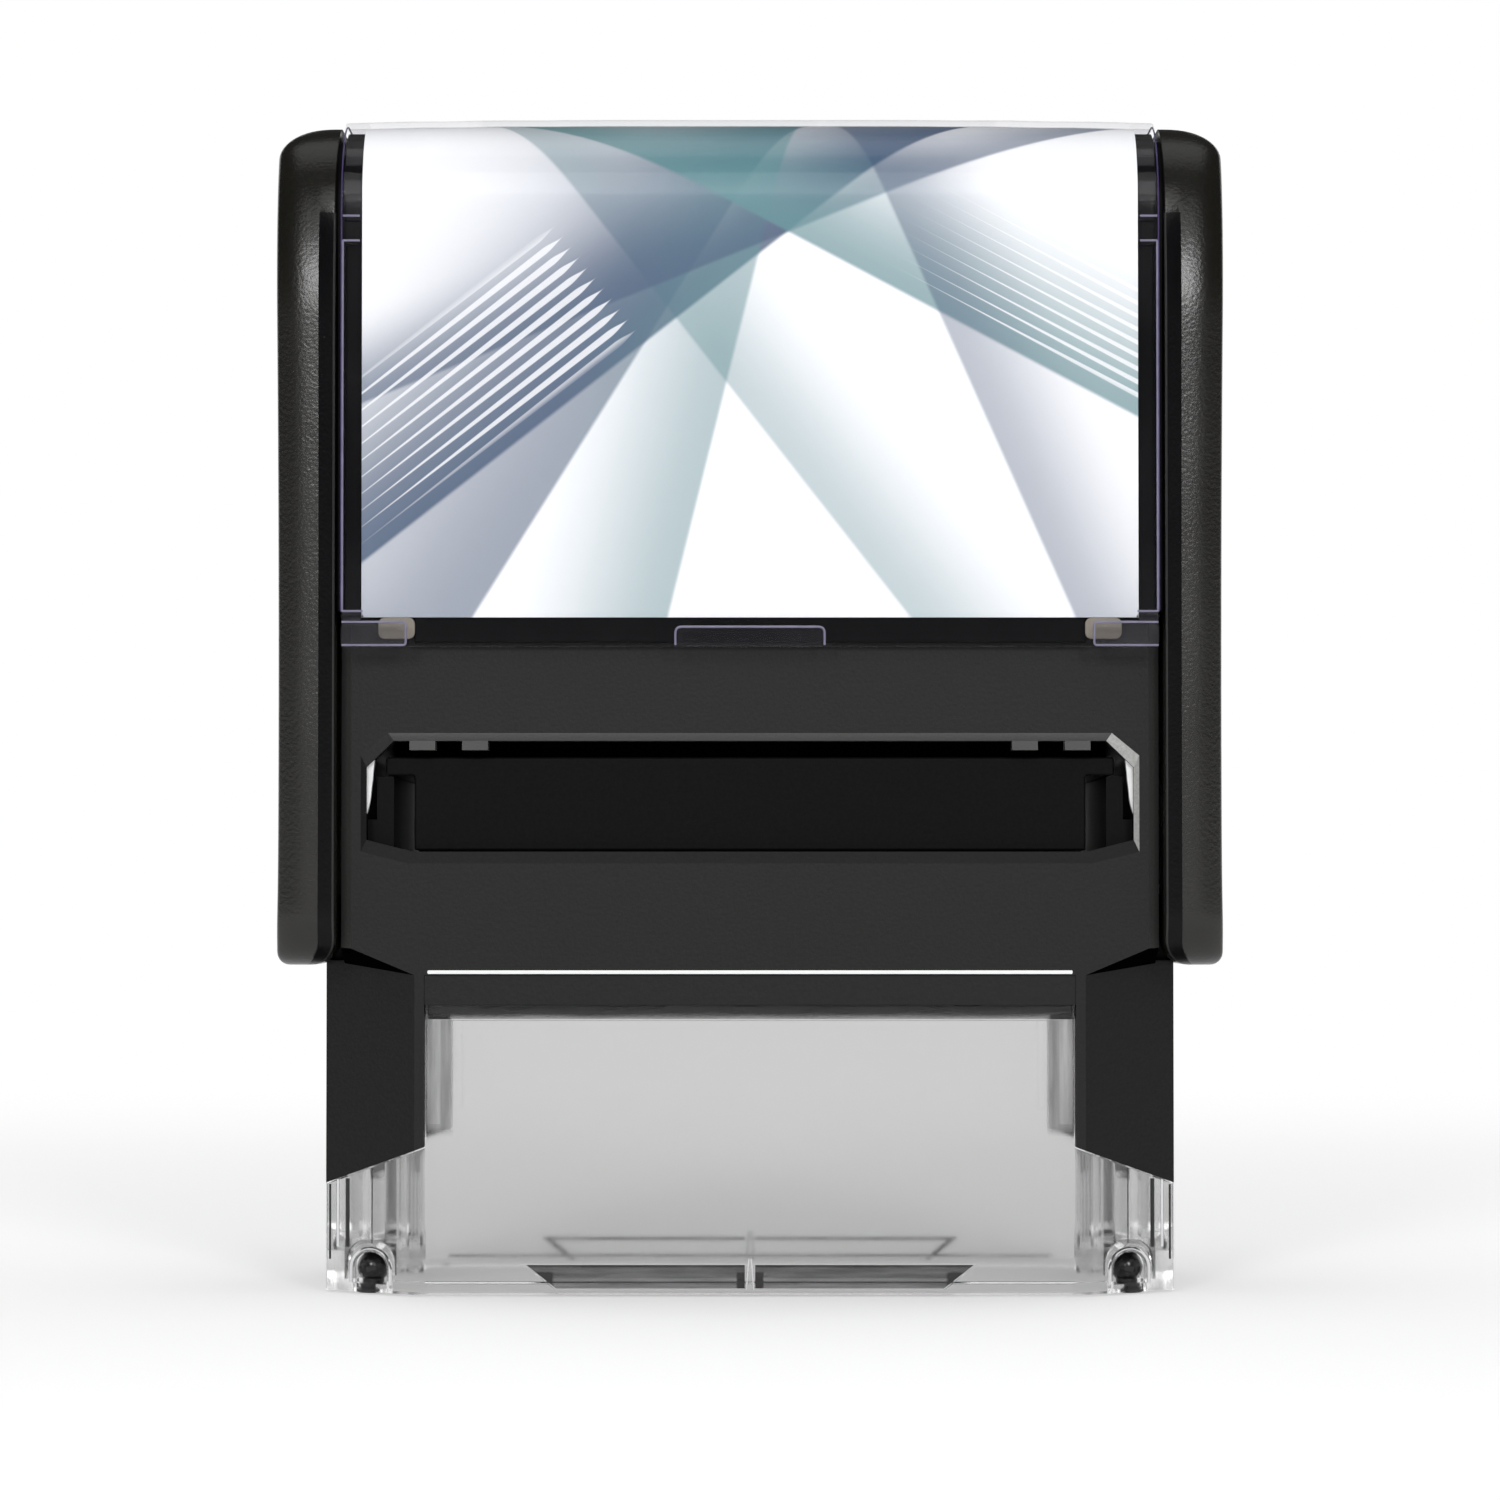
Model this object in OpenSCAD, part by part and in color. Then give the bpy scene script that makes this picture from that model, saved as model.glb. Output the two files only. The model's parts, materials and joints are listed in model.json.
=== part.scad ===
// Self inking stamp, millimetres, +Z up.
// The origin is on the table under the middle of the stamp, and the front faces -Y.

/* [Imprint] */
// Width of the printed area
print_w = 47; // [40:0.5:56]
// Depth of the printed area
print_d = 18; // [14:0.5:20]

/* [Press] */
// How far the cap goes down
travel = 25; // [22:0.5:28]
// Height of the printing face above the table when the cap is fully down
print_gap = 0.1; // [0:0.05:0.5]
// Gap under the grips when the cap is fully down
grip_lift = 0.5; // [0.2:0.1:2]

/* [Die] */
// Holder beyond the printed area at each end
end_rim = 1.5; // [0.8:0.1:2]
// Holder beyond the printed area at the front and the back
side_rim = 0.4; // [0.2:0.1:0.8]
// From the axle to the face of the holder
holder_front = 2.4; // [2:0.1:3]
// From the axle to the back of the holder
holder_back = 1.6; // [1.2:0.1:2.2]
// Depth of the hollows in the back of the holder
holder_hollow = 2; // [1:0.1:2.5]
// Foam cushion between the holder and the text plate
cushion_t = 0.8; // [0.5:0.1:1.2]
// Backing of the text plate
plate_t = 0.5; // [0.3:0.1:1]
// Height of the printing bars on the text plate
relief_t = 0.7; // [0.4:0.1:1]
// How many printing bars stand on the text plate
bar_count = 4; // [2:1:6]
// Gap between the printing bars
bar_gap = 1.5; // [0.6:0.1:2]
// Thickness of the end cheeks
cheek_t = 1.6; // [1.2:0.1:2]
// Radius of the end cheeks round the axle
cheek_r = 3.4; // [2.8:0.1:3.8]
// Radius of the axle pins
axle_r = 1.5; // [1.2:0.1:1.8]
// Radius of the cam pins
cam_pin_r = 0.9; // [0.7:0.05:1.1]

/* [Cam tracks] */
// Thickness of a cam plate
cam_t = 1.4; // [1.2:0.1:2]
// Depth of the cam groove
groove_depth = 1; // [0.7:0.1:1.1]
// How much slower than the axle the cam pin starts, for each radian of turn
cam_lead = 3.4; // [3:0.1:4]
// Half the depth of a cam plate
cam_half_d = 8.6; // [8:0.1:9.2]

/* [Ink cartridge] */
// Gap between the ink pad and the printing face at rest
ink_gap = 0.4; // [0.3:0.05:0.6]
// Height of the cartridge
tray_h = 7.2; // [6:0.1:9]
// Height of the flange along its top
flange_h = 1.4; // [1:0.1:2]
// Block beyond the holder at each end
tray_over = 0.9; // [0.6:0.1:1.2]
// Wall round the ink pad
tray_rim = 1.4; // [1:0.1:2]
// Thickness of the ink pad
pad_t = 4; // [2:0.1:5]
// Ink pad beyond the printed area at the front and the back
pad_over = 1.4; // [0.8:0.1:2]
// How far the cartridge's ends stand back from the housing's front
tray_setback = 1.2; // [0.9:0.1:2]

/* [Housing] */
// Front and back walls of the housing
front_wall = 1.8; // [1.5:0.1:2.2]
// Side walls of the housing
side_wall = 2; // [1.6:0.1:2.4]
// Chamfer along the upright edges
edge_chamfer = 0.8; // [0.4:0.1:1.2]
// Room between the turning die and the walls of the base
swing_room = 4.7; // [4:0.1:6]
// Gap beside the cam plates that shows at the ends of the slot
slit_w = 0.7; // [0.4:0.1:1]
// Front of the housing that shows between the slot and the cap
brow_h = 6.6; // [5:0.1:9]
// How far the housing reaches up into the cap
engage_h = 8; // [6:0.5:12]
// Thickness of the floor under the springs
floor_t = 2; // [1.4:0.1:3]
// Thickness of the top deck
deck_t = 2; // [1.4:0.1:3]
// Bevel round the cartridge slot
slot_bevel = 0.9; // [0.5:0.1:1]
// Sideways cut of the slot's upper corners
slot_cut_top = 2.1; // [1:0.1:2.5]
// Sideways cut of the slot's lower corners
slot_cut_foot = 3.6; // [2:0.1:4]
// Height of the cut of the slot's upper corners
slot_drop_top = 1.6; // [1:0.1:2]
// Height of the cut of the slot's lower corners
slot_drop_foot = 0.9; // [0.5:0.1:1.2]
// Width of a rib that holds the cartridge down
nub_w = 2; // [1:0.1:3]
// Distance between the two ribs of a pair
nub_pitch = 4.05; // [3.2:0.05:5]

/* [Skirt] */
// Skirt beyond the housing at each side
skirt_step = 1.5; // [1.2:0.1:2]
// Wall of the skirt
skirt_wall = 1.5; // [1.2:0.1:1.8]
// Sideways size of the skirt's corner facets
facet_x = 7.2; // [6:0.1:8]
// Front to back size of the skirt's corner facets
facet_y = 5.6; // [5.4:0.1:6.4]
// Height of the top edge of the front window
sight_h = 22.4; // [20:0.1:23]
// Height of the skirt's foot beside the window
skirt_foot_in = 11.5; // [10:0.1:13]
// Height of the skirt's foot at the sides
skirt_foot_out = 8.5; // [7.5:0.1:9.5]
// Skirt that shows at each side of the window
jamb_w = 0.75; // [0.5:0.05:1.5]
// Rise of the skirt's top above the front window
shelf_rise = 3.4; // [3:0.1:4]
// Thickness of the shelf over the skirt
shelf_t = 0.9; // [0.7:0.1:1.4]
// Rise of the housing's overhanging corner along its front edge
brim_rise = 2.4; // [1.6:0.1:3]
// Height of the trim panel over the window
trim_h = 2.3; // [1.5:0.1:3]
// Depth of the trim panel
trim_depth = 0.15; // [0.1:0.05:0.3]

/* [Clear base] */
// Wall of the base
base_wall = 1.4; // [1.1:0.1:1.7]
// Thickness of the rim along the bottom
rim_h = 0.8; // [0.5:0.1:1.2]
// Width of the rim along the bottom
rim_w = 2.6; // [2:0.1:3]
// Thickness of the upright ribs in the corners
rib_w = 1.3; // [0.8:0.1:1.8]
// How far those ribs reach back past the corner facets
rib_back = 0.6; // [0.2:0.1:1.5]
// Height of the base's collar above the table
collar_z = 13.2; // [12:0.1:14]
// Side of the window that the collar covers
collar_over = 1.2; // [0.6:0.1:2]
// Half the width of the sighting recess at its top
recess_half = 17.4; // [14:0.1:20]
// Slant of the sighting recess's ends
recess_slant = 2.4; // [1:0.1:3]
// Height of the sighting recess
recess_h = 1.9; // [1.2:0.1:3]
// Depth of the sighting recess
recess_depth = 0.6; // [0.3:0.05:0.8]
// Width of the centre mark
tick_w = 0.7; // [0.4:0.1:1.2]
// Radius of the rubber feet
foot_r = 1.25; // [1:0.05:1.4]
// Height of a rubber foot without its dome
foot_h = 2; // [1.5:0.1:2.5]
// How far the rubber feet stand out below the base
foot_proud = 0.2; // [0.1:0.05:0.5]
// Wall of the bosses round the rubber feet
boss_wall = 0.7; // [0.5:0.05:0.9]
// Sideways place of the rubber feet, in from the base's sides
foot_in_x = 3.7; // [3.5:0.1:4]
// Front to back place of the rubber feet, in from the base's front
foot_in_y = 5.6; // [5.4:0.1:6]

/* [Cap] */
// Front and back walls of the cap
core_wall = 1; // [0.8:0.1:1.4]
// Top of the cap at its middle
core_top_t = 2.8; // [2.4:0.1:4]
// Room over the housing when the cap is fully down
head_room = 4.2; // [4:0.1:6]
// Radius of the cap's upper front and back edges
core_r = 6; // [4:0.1:7]
// Rise of the crowned top over its width
crown = 0.6; // [0.3:0.05:1]
// Length of the pegs in the springs
peg_h = 6; // [3:0.5:8]
// Wide notch in the cap's lower edge at each end
core_notch_w = 6; // [4:0.1:7]
// Height of that notch
core_notch_h = 2.4; // [1.5:0.1:3]

/* [Index window] */
// Thickness of the clear window
window_t = 1.1; // [0.8:0.1:1.4]
// How far the window's corner pads stand out
corner_proud = 0.3; // [0.2:0.05:0.5]
// Width of the corner pads
corner_w = 5.1; // [3:0.1:7]
// Height of the corner pads
corner_h = 2.6; // [1.5:0.1:4]
// Width of the finger lip
lip_w = 11.5; // [8:0.5:16]
// Height of the finger lip
lip_h = 1.6; // [1:0.1:3]
// Thickness of the index card
card_t = 0.3; // [0.2:0.05:0.35]
// Window that shows beside the card
card_margin = 1.5; // [0.8:0.1:3]
// Height of the card above the window's lower edge
card_lift = 2.2; // [1.5:0.1:4]
// Width of the card's tabs
tab_w = 2.8; // [2:0.1:4]
// Height of the card's tabs
tab_h = 1.5; // [0.8:0.1:1.5]
// Place of the card's tabs, in from its ends
tab_in = 1.3; // [0.5:0.1:3]

/* [Grips] */
// Wall of a grip outside its channel
grip_wall = 3.2; // [2.8:0.1:4]
// Radius of the grips' upright edges
grip_r = 3.5; // [2:0.1:4]
// Sideways size of the rounded shoulder
shoulder_w = 4.2; // [3:0.1:4.5]
// Height of the rounded shoulder
shoulder_h = 2.7; // [1.5:0.1:4]
// Drop of the grips' tops below the window's crown
grip_drop = 0.7; // [0.6:0.05:1]
// Inner radius at the grips' lower ends
toe_r = 2; // [1:0.1:2.5]
// Outer radius at the grips' lower ends
heel_r = 1; // [0.5:0.1:2]
// Radius of the grips' lower corners seen from the side
grip_foot_r = 4; // [2:0.1:6]
// Bearing depth of the axle pins in the grips
axle_seat = 1.7; // [1.2:0.1:2]

/* [Lock buttons] */
// Height of the lock buttons above the axle
lock_rise = 9.5; // [8.8:0.1:12]
// Width of a lock button
lock_w = 9; // [7:0.1:12]
// Height of a lock button
lock_h = 6; // [5:0.1:7]
// Rim of the button inside the grip
lock_rim = 1; // [0.6:0.1:1.5]
// Thickness of that rim
lock_rim_t = 0.8; // [0.6:0.1:0.9]
// How far a button stands out of the grip
lock_proud = 0.4; // [0.2:0.05:0.6]
// How far a button goes in
lock_travel = 1; // [0.8:0.05:1]
// Height of the button's tongue
tongue_h = 2.4; // [1.6:0.1:3]

/* [Springs] */
// Place of the springs, out from the middle
spring_x = 16; // [12:0.5:20]
// Mean radius of the springs
spring_r = 4; // [3.2:0.1:4.2]
// Thickness of the spring wire
wire_d = 1; // [0.7:0.05:1.2]
// How many turns each spring has
spring_turns = 9; // [6:1:10]

/* [Clearances] */
// Between the cap and the housing
cap_gap = 0.4; // [0.3:0.05:0.6]
// Between the grips and the sides of the housing
side_gap = 0.3; // [0.25:0.05:0.5]
// Between the cheeks and the cam plates
cheek_gap = 0.8; // [0.5:0.1:1.2]
// Round the axle pins in their slots
slot_gap = 0.3; // [0.2:0.05:0.4]
// Round the axle pins in the grips
bearing_gap = 0.05; // [0.02:0.01:0.08]
// Round the cam pins in their grooves
groove_gap = 0.2; // [0.15:0.05:0.3]
// Under the cartridge in its slot
tray_gap = 0.1; // [0.1:0.05:0.15]
// Over the cartridge in its slot
tray_head = 0.8; // [0.6:0.1:1.2]
// Under the ribs that hold the cartridge down
nub_gap = 0.3; // [0.2:0.05:0.4]
// Between pieces that are pushed together
fit_gap = 0.1; // [0.05:0.01:0.15]
// Between the window and the grips
window_gap = 0.5; // [0.3:0.1:0.8]
// Round the rubber feet in their bosses
foot_gap = 0.03; // [0.02:0.01:0.06]
// On each side of the card
card_gap = 0.05; // [0.03:0.01:0.06]
// Round the lock buttons
lock_gap = 0.15; // [0.1:0.05:0.25]
// Round the springs
spring_gap = 0.3; // [0.2:0.05:0.5]

/* [Hidden] */
$fn = 64;
crown_fn = 256;
arc_steps = 12;
// Longer than anything that is cut
far = 200;
// How far a cut or a joined piece runs past a face
past = 0.2;

// Half widths, from the die outwards
holder_x = print_w / 2 + end_rim;
cheek_x = holder_x + cheek_t;
cam_x0 = cheek_x + cheek_gap;
cam_x1 = cam_x0 + cam_t;
inside_x = cam_x1 + slit_w;
body_x = inside_x + side_wall;
grip_x0 = body_x + side_gap;
skirt_x = body_x + skirt_step;
channel_x = skirt_x + side_gap;
grip_x = channel_x + grip_wall;
window_x = grip_x0 - window_gap;
card_x = window_x - card_margin;
tray_x = holder_x + tray_over;
pad_x = tray_x - tray_rim;
flange_x = (cam_x0 + cam_x1) / 2;

// Half depths, from the die outwards
holder_y = print_d / 2 + side_rim;
skirt_y = holder_y + swing_room + base_wall + fit_gap + skirt_wall;
inside_y = skirt_y - front_wall;
core_y0 = skirt_y + cap_gap;
core_y = core_y0 + core_wall;
card_room = card_t + 2 * card_gap;
window_y = core_y + card_room + window_t;
grip_y = window_y;
tray_y = skirt_y - tray_setback;
pad_y = print_d / 2 + pad_over;

// Heights, from the table up
face_h = holder_front + cushion_t + plate_t + relief_t;
axle_z = travel + face_h + print_gap;
grip_z0 = travel + grip_lift;
tray_z0 = axle_z + face_h + ink_gap;
tray_z1 = tray_z0 + tray_h;
flange_z0 = tray_z1 - flange_h;
slot_z0 = tray_z0 - tray_gap;
slot_z1 = tray_z1 + tray_head;
floor_z0 = slot_z1 + slot_bevel + tray_head;
floor_z1 = floor_z0 + floor_t;
window_z0 = slot_z1 + slot_bevel + brow_h;
body_top = window_z0 + engage_h;
deck_z0 = body_top - deck_t;
cap_under = body_top + travel + head_room;
core_top = cap_under + core_top_t;
window_top = core_top + card_room + window_t;
grip_top = window_top - grip_drop;
channel_top = cap_under - past;
shelf_z1 = sight_h + shelf_rise;
shelf_z0 = shelf_z1 - shelf_t;
brim_z0 = sight_h + trim_h;
block_z0 = brim_z0 - shelf_t;
brim_top = brim_z0 + brim_rise + shelf_t;
collar_top = shelf_z0 - side_gap;
core_z0 = window_z0 + cap_gap;
card_z0 = window_z0 + card_lift;
lock_z = axle_z + lock_rise;
base_z0 = foot_proud;
boss_top = base_z0 + foot_h + foot_r + boss_wall;
axle_foot = axle_z - travel - axle_r - slot_gap;
rail_z0 = slot_z0 - slot_bevel;
rail_web_z = (rail_z0 + flange_z0) / 2;
cam_top = rail_z0 - slot_gap;

// Corner facets of the skirt and the sloping face over them
facet_x0 = skirt_x - facet_x;
jamb_x = facet_x0 - jamb_w;
brim_slope = brim_rise / (body_x - facet_x0);
brim_fall = (brim_slope * facet_x - (shelf_z1 - brim_z0)) / facet_y;
skin_in = skirt_wall + 2 * fit_gap;
collar_in = skirt_wall + fit_gap;
channel_y = skirt_y - facet_y * (grip_x0 - facet_x0) / facet_x + cap_gap;
rail_x0 = cam_x0 + fit_gap;
nub_x = tray_x;

// Cam pins start level with the axle and pass over it as the die turns
cam_r = travel / PI - cam_lead;
cam_steps = 36;

// The lock button, seen along X
tongue_half = axle_r - lock_gap;
lock_rim_x = channel_x + lock_travel + fit_gap;
lock_seat_x = lock_rim_x + lock_rim_t + fit_gap;
tongue_x = body_x + cap_gap;
lock_pocket_x = tongue_x - lock_travel - lock_gap;

// Rubber feet
foot_x = skirt_x - foot_in_x;
foot_y = skirt_y - foot_in_y;

// Return springs
spring_z0 = floor_z1;
spring_len = cap_under - spring_z0 - spring_gap;
wire_pitch = (spring_len - wire_d) / spring_turns;
wire_rise = wire_pitch / (2 * PI * spring_r);
peg_r = spring_r - wire_d / 2 - spring_gap;
well_r = spring_r + wire_d / 2 + spring_gap * 2;
wire_sides = 6;
rings_per_turn = 8;

// Colours
black_shell = "#313131";
black_grip = "#1f1c1a";
black_part = "#1b1b1b";
clear_plastic = [0.8, 0.82, 0.84, 0.5];
lilac_plastic = [0.86, 0.84, 0.9, 0.4];
card_colour = "#dfe5e8";
rubber_colour = "#4a2a28";
foam_colour = "#9a958c";
ink_colour = "#20222c";
foot_colour = "#2a2a2c";
steel_colour = "#a9adb0";

// Carries a flat shape, drawn as X and Z, along Y
module along_y(length) {
    rotate([90, 0, 0]) linear_extrude(length, center = true) children();
}

// Carries a flat shape, drawn as Y and Z, along X from one place to another
module along_x(from, to) {
    translate([from, 0, 0]) rotate([90, 0, 90]) linear_extrude(to - from) children();
}

// Draws a piece on the right, or its mirror image on the left
module on_side(side) {
    mirror([side < 0 ? 1 : 0, 0, 0]) children();
}

// Draws a piece on both sides
module both_sides() {
    for (side = [-1, 1]) on_side(side) children();
}

// Draws a piece at all four corners
module all_corners() {
    for (front = [0, 1]) mirror([0, front, 0]) both_sides() children();
}

// A box about the middle, from one height to another
module slab(half_x, half_y, z0, z1) {
    translate([-half_x, -half_y, z0]) cube([2 * half_x, 2 * half_y, z1 - z0]);
}

// A box on the right, from one place to another
module block(x0, x1, half_y, z0, z1) {
    translate([x0, -half_y, z0]) cube([x1 - x0, 2 * half_y, z1 - z0]);
}

// A rectangle with round ends
module pill(width, height) {
    square([width - height, height], center = true);
    for (side = [-1, 1]) translate([side * (width - height) / 2, 0]) circle(height / 2);
}

// Points of a quarter turn of an ellipse
function corner_arc(centre, size, start) = [
    for (step = [0:arc_steps]) let (angle = start + 90 * step / arc_steps)
        [centre[0] + size[0] * cos(angle), centre[1] + size[1] * sin(angle)]
];

// The skirt's outline with its corner facets, drawn in by a distance
function outline_points(inset) = let (
    slope = atan(facet_y / facet_x),
    x1 = skirt_x - inset,
    y1 = skirt_y - inset,
    x0 = skirt_x - facet_x - inset * tan(slope / 2),
    y0 = skirt_y - facet_y - inset * tan((90 - slope) / 2)
) [[x1, y0], [x0, y1], [-x0, y1], [-x1, y0], [-x1, -y0], [-x0, -y1], [x0, -y1], [x1, -y0]];

module outline(inset) {
    polygon(outline_points(inset));
}

// A wall that follows the outline between two insets
module ring(outer, inner, z0, z1) {
    translate([0, 0, z0]) linear_extrude(z1 - z0) difference() {
        outline(outer);
        outline(inner);
    }
}

// The opening under the housing, seen from the front, drawn in by a gap
module sight_shape(gap) {
    x0 = jamb_x - gap;
    x1 = skirt_x + past;
    slope = (skirt_foot_in - skirt_foot_out) / (skirt_x - jamb_x);
    z0 = skirt_foot_in - gap;
    z1 = z0 - (x1 - x0) * slope;
    polygon([
        [-x1, -past], [x1, -past], [x1, z1], [x0, z0], [x0, sight_h - gap],
        [-x0, sight_h - gap], [-x0, z0], [-x1, z1]
    ]);
}

// The cartridge slot, seen from the front, widened by a bevel
module slot_shape(bevel) {
    x1 = inside_x + bevel / 2;
    z0 = slot_z0 - bevel;
    z1 = slot_z1 + bevel;
    top_x = x1 - slot_cut_top;
    foot_cut_x = x1 - slot_cut_foot;
    polygon([
        [-foot_cut_x, z0], [foot_cut_x, z0], [x1, z0 + slot_drop_foot], [x1, z1 - slot_drop_top],
        [top_x, z1], [-top_x, z1], [-x1, z1 - slot_drop_top], [-x1, z0 + slot_drop_foot]
    ]);
}

// The slot's bevel, which opens towards the front
module slot_flare() {
    hull() {
        translate([0, -skirt_y - past / 2, 0]) along_y(past) slot_shape(slot_bevel);
        translate([0, -skirt_y + slot_bevel + past / 2, 0]) along_y(past) slot_shape(0);
    }
}

// The way of the axle pins through a side wall, seen along X
module axle_way(foot) {
    half = axle_r + slot_gap;
    translate([-half, foot]) square([2 * half, axle_z - foot]);
    translate([0, axle_z]) circle(half);
}

// Height of the sloping face under the housing's overhanging corner
function brim_z(x, y) = brim_z0 + (x - facet_x0) * brim_slope - (y + skirt_y) * brim_fall;

// What is cut off under the housing's front right corner
module brim_cut() {
    x1 = body_x + past;
    y0 = -skirt_y - past;
    x0 = facet_x0 - past * facet_x / facet_y;
    y1 = -skirt_y + (x1 - facet_x0) * facet_y / facet_x;
    plan = [[x0, y0], [x1, y0], [x1, y1]];
    foot = [for (p = plan) [p[0], p[1], block_z0 - past]];
    roof = [for (p = plan) [p[0], p[1], brim_z(p[0], p[1])]];
    polyhedron(
        points = concat(foot, roof),
        faces = [[0, 1, 2], [3, 5, 4], [0, 3, 4, 1], [1, 4, 5, 2], [2, 5, 3, 0]]
    );
}

// The housing's upper block with its chamfered upright edges
module block_shape() {
    x0 = body_x - edge_chamfer;
    y0 = skirt_y - edge_chamfer;
    polygon([
        [body_x, y0], [x0, skirt_y], [-x0, skirt_y], [-body_x, y0],
        [-body_x, -y0], [-x0, -skirt_y], [x0, -skirt_y], [body_x, -y0]
    ]);
}

// The space inside the housing, under the floor of the springs
module housing_inside() {
    translate([0, 0, -past]) linear_extrude(shelf_z0 + past) outline(skirt_wall);
    intersection() {
        slab(inside_x, inside_y, shelf_z0 - past, brim_top);
        translate([0, 0, shelf_z0 - past]) linear_extrude(brim_top) outline(side_wall);
    }
    slab(inside_x, inside_y, brim_top - past, floor_z0);
}

module housing() {
    color(black_shell) {
        difference() {
            union() {
                difference() {
                    translate([0, 0, block_z0]) linear_extrude(body_top - block_z0) block_shape();
                    all_corners() brim_cut();
                }
                linear_extrude(shelf_z1) outline(0);
            }
            housing_inside();
            slab(inside_x, inside_y, floor_z1, deck_z0);
            both_sides() translate([spring_x, 0, deck_z0 - past])
                cylinder(r = well_r, h = deck_t + 2 * past);
            along_y(far) sight_shape(0);
            along_y(far) slot_shape(0);
            for (turn = [0, 180]) rotate([0, 0, turn]) slot_flare();
            both_sides() along_x(inside_x - past, skirt_x + past) axle_way(0);
            both_sides() along_x(lock_pocket_x, body_x + past) translate([0, lock_z])
                square([2 * (tongue_half + lock_gap), tongue_h + 2 * lock_gap], center = true);
            for (front = [0, 1]) mirror([0, front, 0])
                translate([0, -skirt_y, 0]) slab(jamb_x, trim_depth, sight_h - past, brim_z0);
        }
        both_sides() slide_rail();
        all_corners() hold_ribs();
    }
}

// The rail that carries one end of the cartridge
module slide_rail() {
    block(rail_x0, cam_x1, inside_y + past, rail_z0, flange_z0 - tray_gap);
    block(cam_x1 - past, inside_x + past, inside_y + past, rail_z0, rail_web_z);
}

// Two ribs that hold the cartridge down at the slot's front edge
module hold_ribs() {
    for (place = [0, 1])
        translate([nub_x - nub_w - place * nub_pitch, -skirt_y + slot_bevel + past, tray_z1 + nub_gap])
            cube([nub_w, front_wall - slot_bevel - past, tray_head + past - nub_gap]);
}

// Where the middle of a cam pin is when the die has turned by an angle, as Y and Z
function cam_point(angle) = [cam_r * cos(angle), axle_z - travel * angle / 180 + cam_r * sin(angle)];

// A point beside the cam pin's path
function cam_side(angle, reach) = let (
    ahead = [-cam_r * sin(angle), cam_r * cos(angle) - travel / PI]
) cam_point(angle) + reach * [-ahead[1], ahead[0]] / norm(ahead);

// The cam groove, seen along X
module groove_shape() {
    reach = cam_pin_r + groove_gap;
    polygon(concat(
        [for (step = [0:cam_steps]) cam_side(180 * step / cam_steps, reach)],
        [for (step = [0:cam_steps]) cam_side(180 - 180 * step / cam_steps, -reach)]
    ));
    for (angle = [0, 180]) translate(cam_point(angle)) circle(reach);
}

module cam_plate(side) {
    color(clear_plastic) on_side(side) difference() {
        union() {
            block(cam_x0, cam_x1, cam_half_d, base_z0 + rim_h + fit_gap, cam_top);
            block(cam_x1 - past, inside_x, cam_half_d, shelf_z1 + fit_gap, cam_top);
        }
        along_x(cam_x0 - past, cam_x0 + groove_depth) groove_shape();
        along_x(cam_x0 - past, inside_x + past) axle_way(axle_foot);
    }
}

// The recess for sighting the print, seen from the front
module recess_shape() {
    foot_z = base_z0 + rim_h / 2;
    foot_half = recess_half - recess_slant;
    polygon([
        [-foot_half, foot_z], [foot_half, foot_z],
        [recess_half, foot_z + recess_h], [-recess_half, foot_z + recess_h]
    ]);
}

module clear_base() {
    color(clear_plastic) difference() {
        union() {
            intersection() {
                ring(0, skin_in, base_z0, sight_h);
                along_y(far) sight_shape(fit_gap);
            }
            ring(0, rim_w, base_z0, base_z0 + rim_h);
            base_collar();
            all_corners() foot_boss();
        }
        for (front = [0, 1]) mirror([0, front, 0]) difference() {
            translate([0, -skirt_y, 0]) along_y(2 * recess_depth) recess_shape();
            slab(tick_w / 2, far, 0, far);
        }
        both_sides() along_x(inside_x - past, skirt_x + past) axle_way(axle_foot);
        all_corners() translate([foot_x, foot_y, -past]) foot_shape(foot_r + foot_gap, foot_h + past);
    }
}

// The collar that holds the base in the housing, with its side walls and corner ribs
module base_collar() {
    difference() {
        ring(collar_in, collar_in + base_wall, collar_z, collar_top);
        slab(jamb_x - collar_over, far, 0, sight_h - collar_over);
    }
    intersection() {
        ring(collar_in, collar_in + base_wall, boss_top, collar_z + past);
        slab(far, skirt_y - facet_y, 0, far);
    }
    all_corners() intersection() {
        translate([0, 0, boss_top]) linear_extrude(collar_top - boss_top) outline(collar_in);
        translate([cam_x1 + side_gap, skirt_y - facet_y - rib_back, 0]) cube([rib_w, facet_y, far]);
    }
}

// A round post with a domed top
module foot_shape(radius, height) {
    rotate_extrude() intersection() {
        union() {
            square([radius, height]);
            translate([0, height]) circle(radius);
        }
        square([radius, height + radius]);
    }
}

// The boss round a rubber foot
module foot_boss() {
    translate([foot_x, foot_y, base_z0]) foot_shape(foot_r + foot_gap + boss_wall, foot_h);
}

module rubber_foot(side_x, side_y) {
    color(foot_colour) translate([side_x * foot_x, side_y * foot_y, 0]) foot_shape(foot_r, foot_h);
}

// The middle of the spring wire at a turn
function wire_point(turn) = [
    spring_r * cos(360 * turn),
    spring_r * sin(360 * turn),
    wire_d / 2 + wire_pitch * turn
];

// Points round the spring wire at a turn
function wire_ring(turn) = let (
    out = [cos(360 * turn), sin(360 * turn), 0],
    ahead = [-out[1], out[0], wire_rise] / norm([1, wire_rise]),
    up = cross(out, ahead)
) [
    for (side = [0:wire_sides - 1]) let (angle = 360 * side / wire_sides)
        wire_point(turn) + wire_d / 2 * (cos(angle) * out + sin(angle) * up)
];

// The least distance between the wire's surface on neighbouring turns
function wire_gap() = wire_pitch * cos(atan(wire_rise)) - wire_d;

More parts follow.
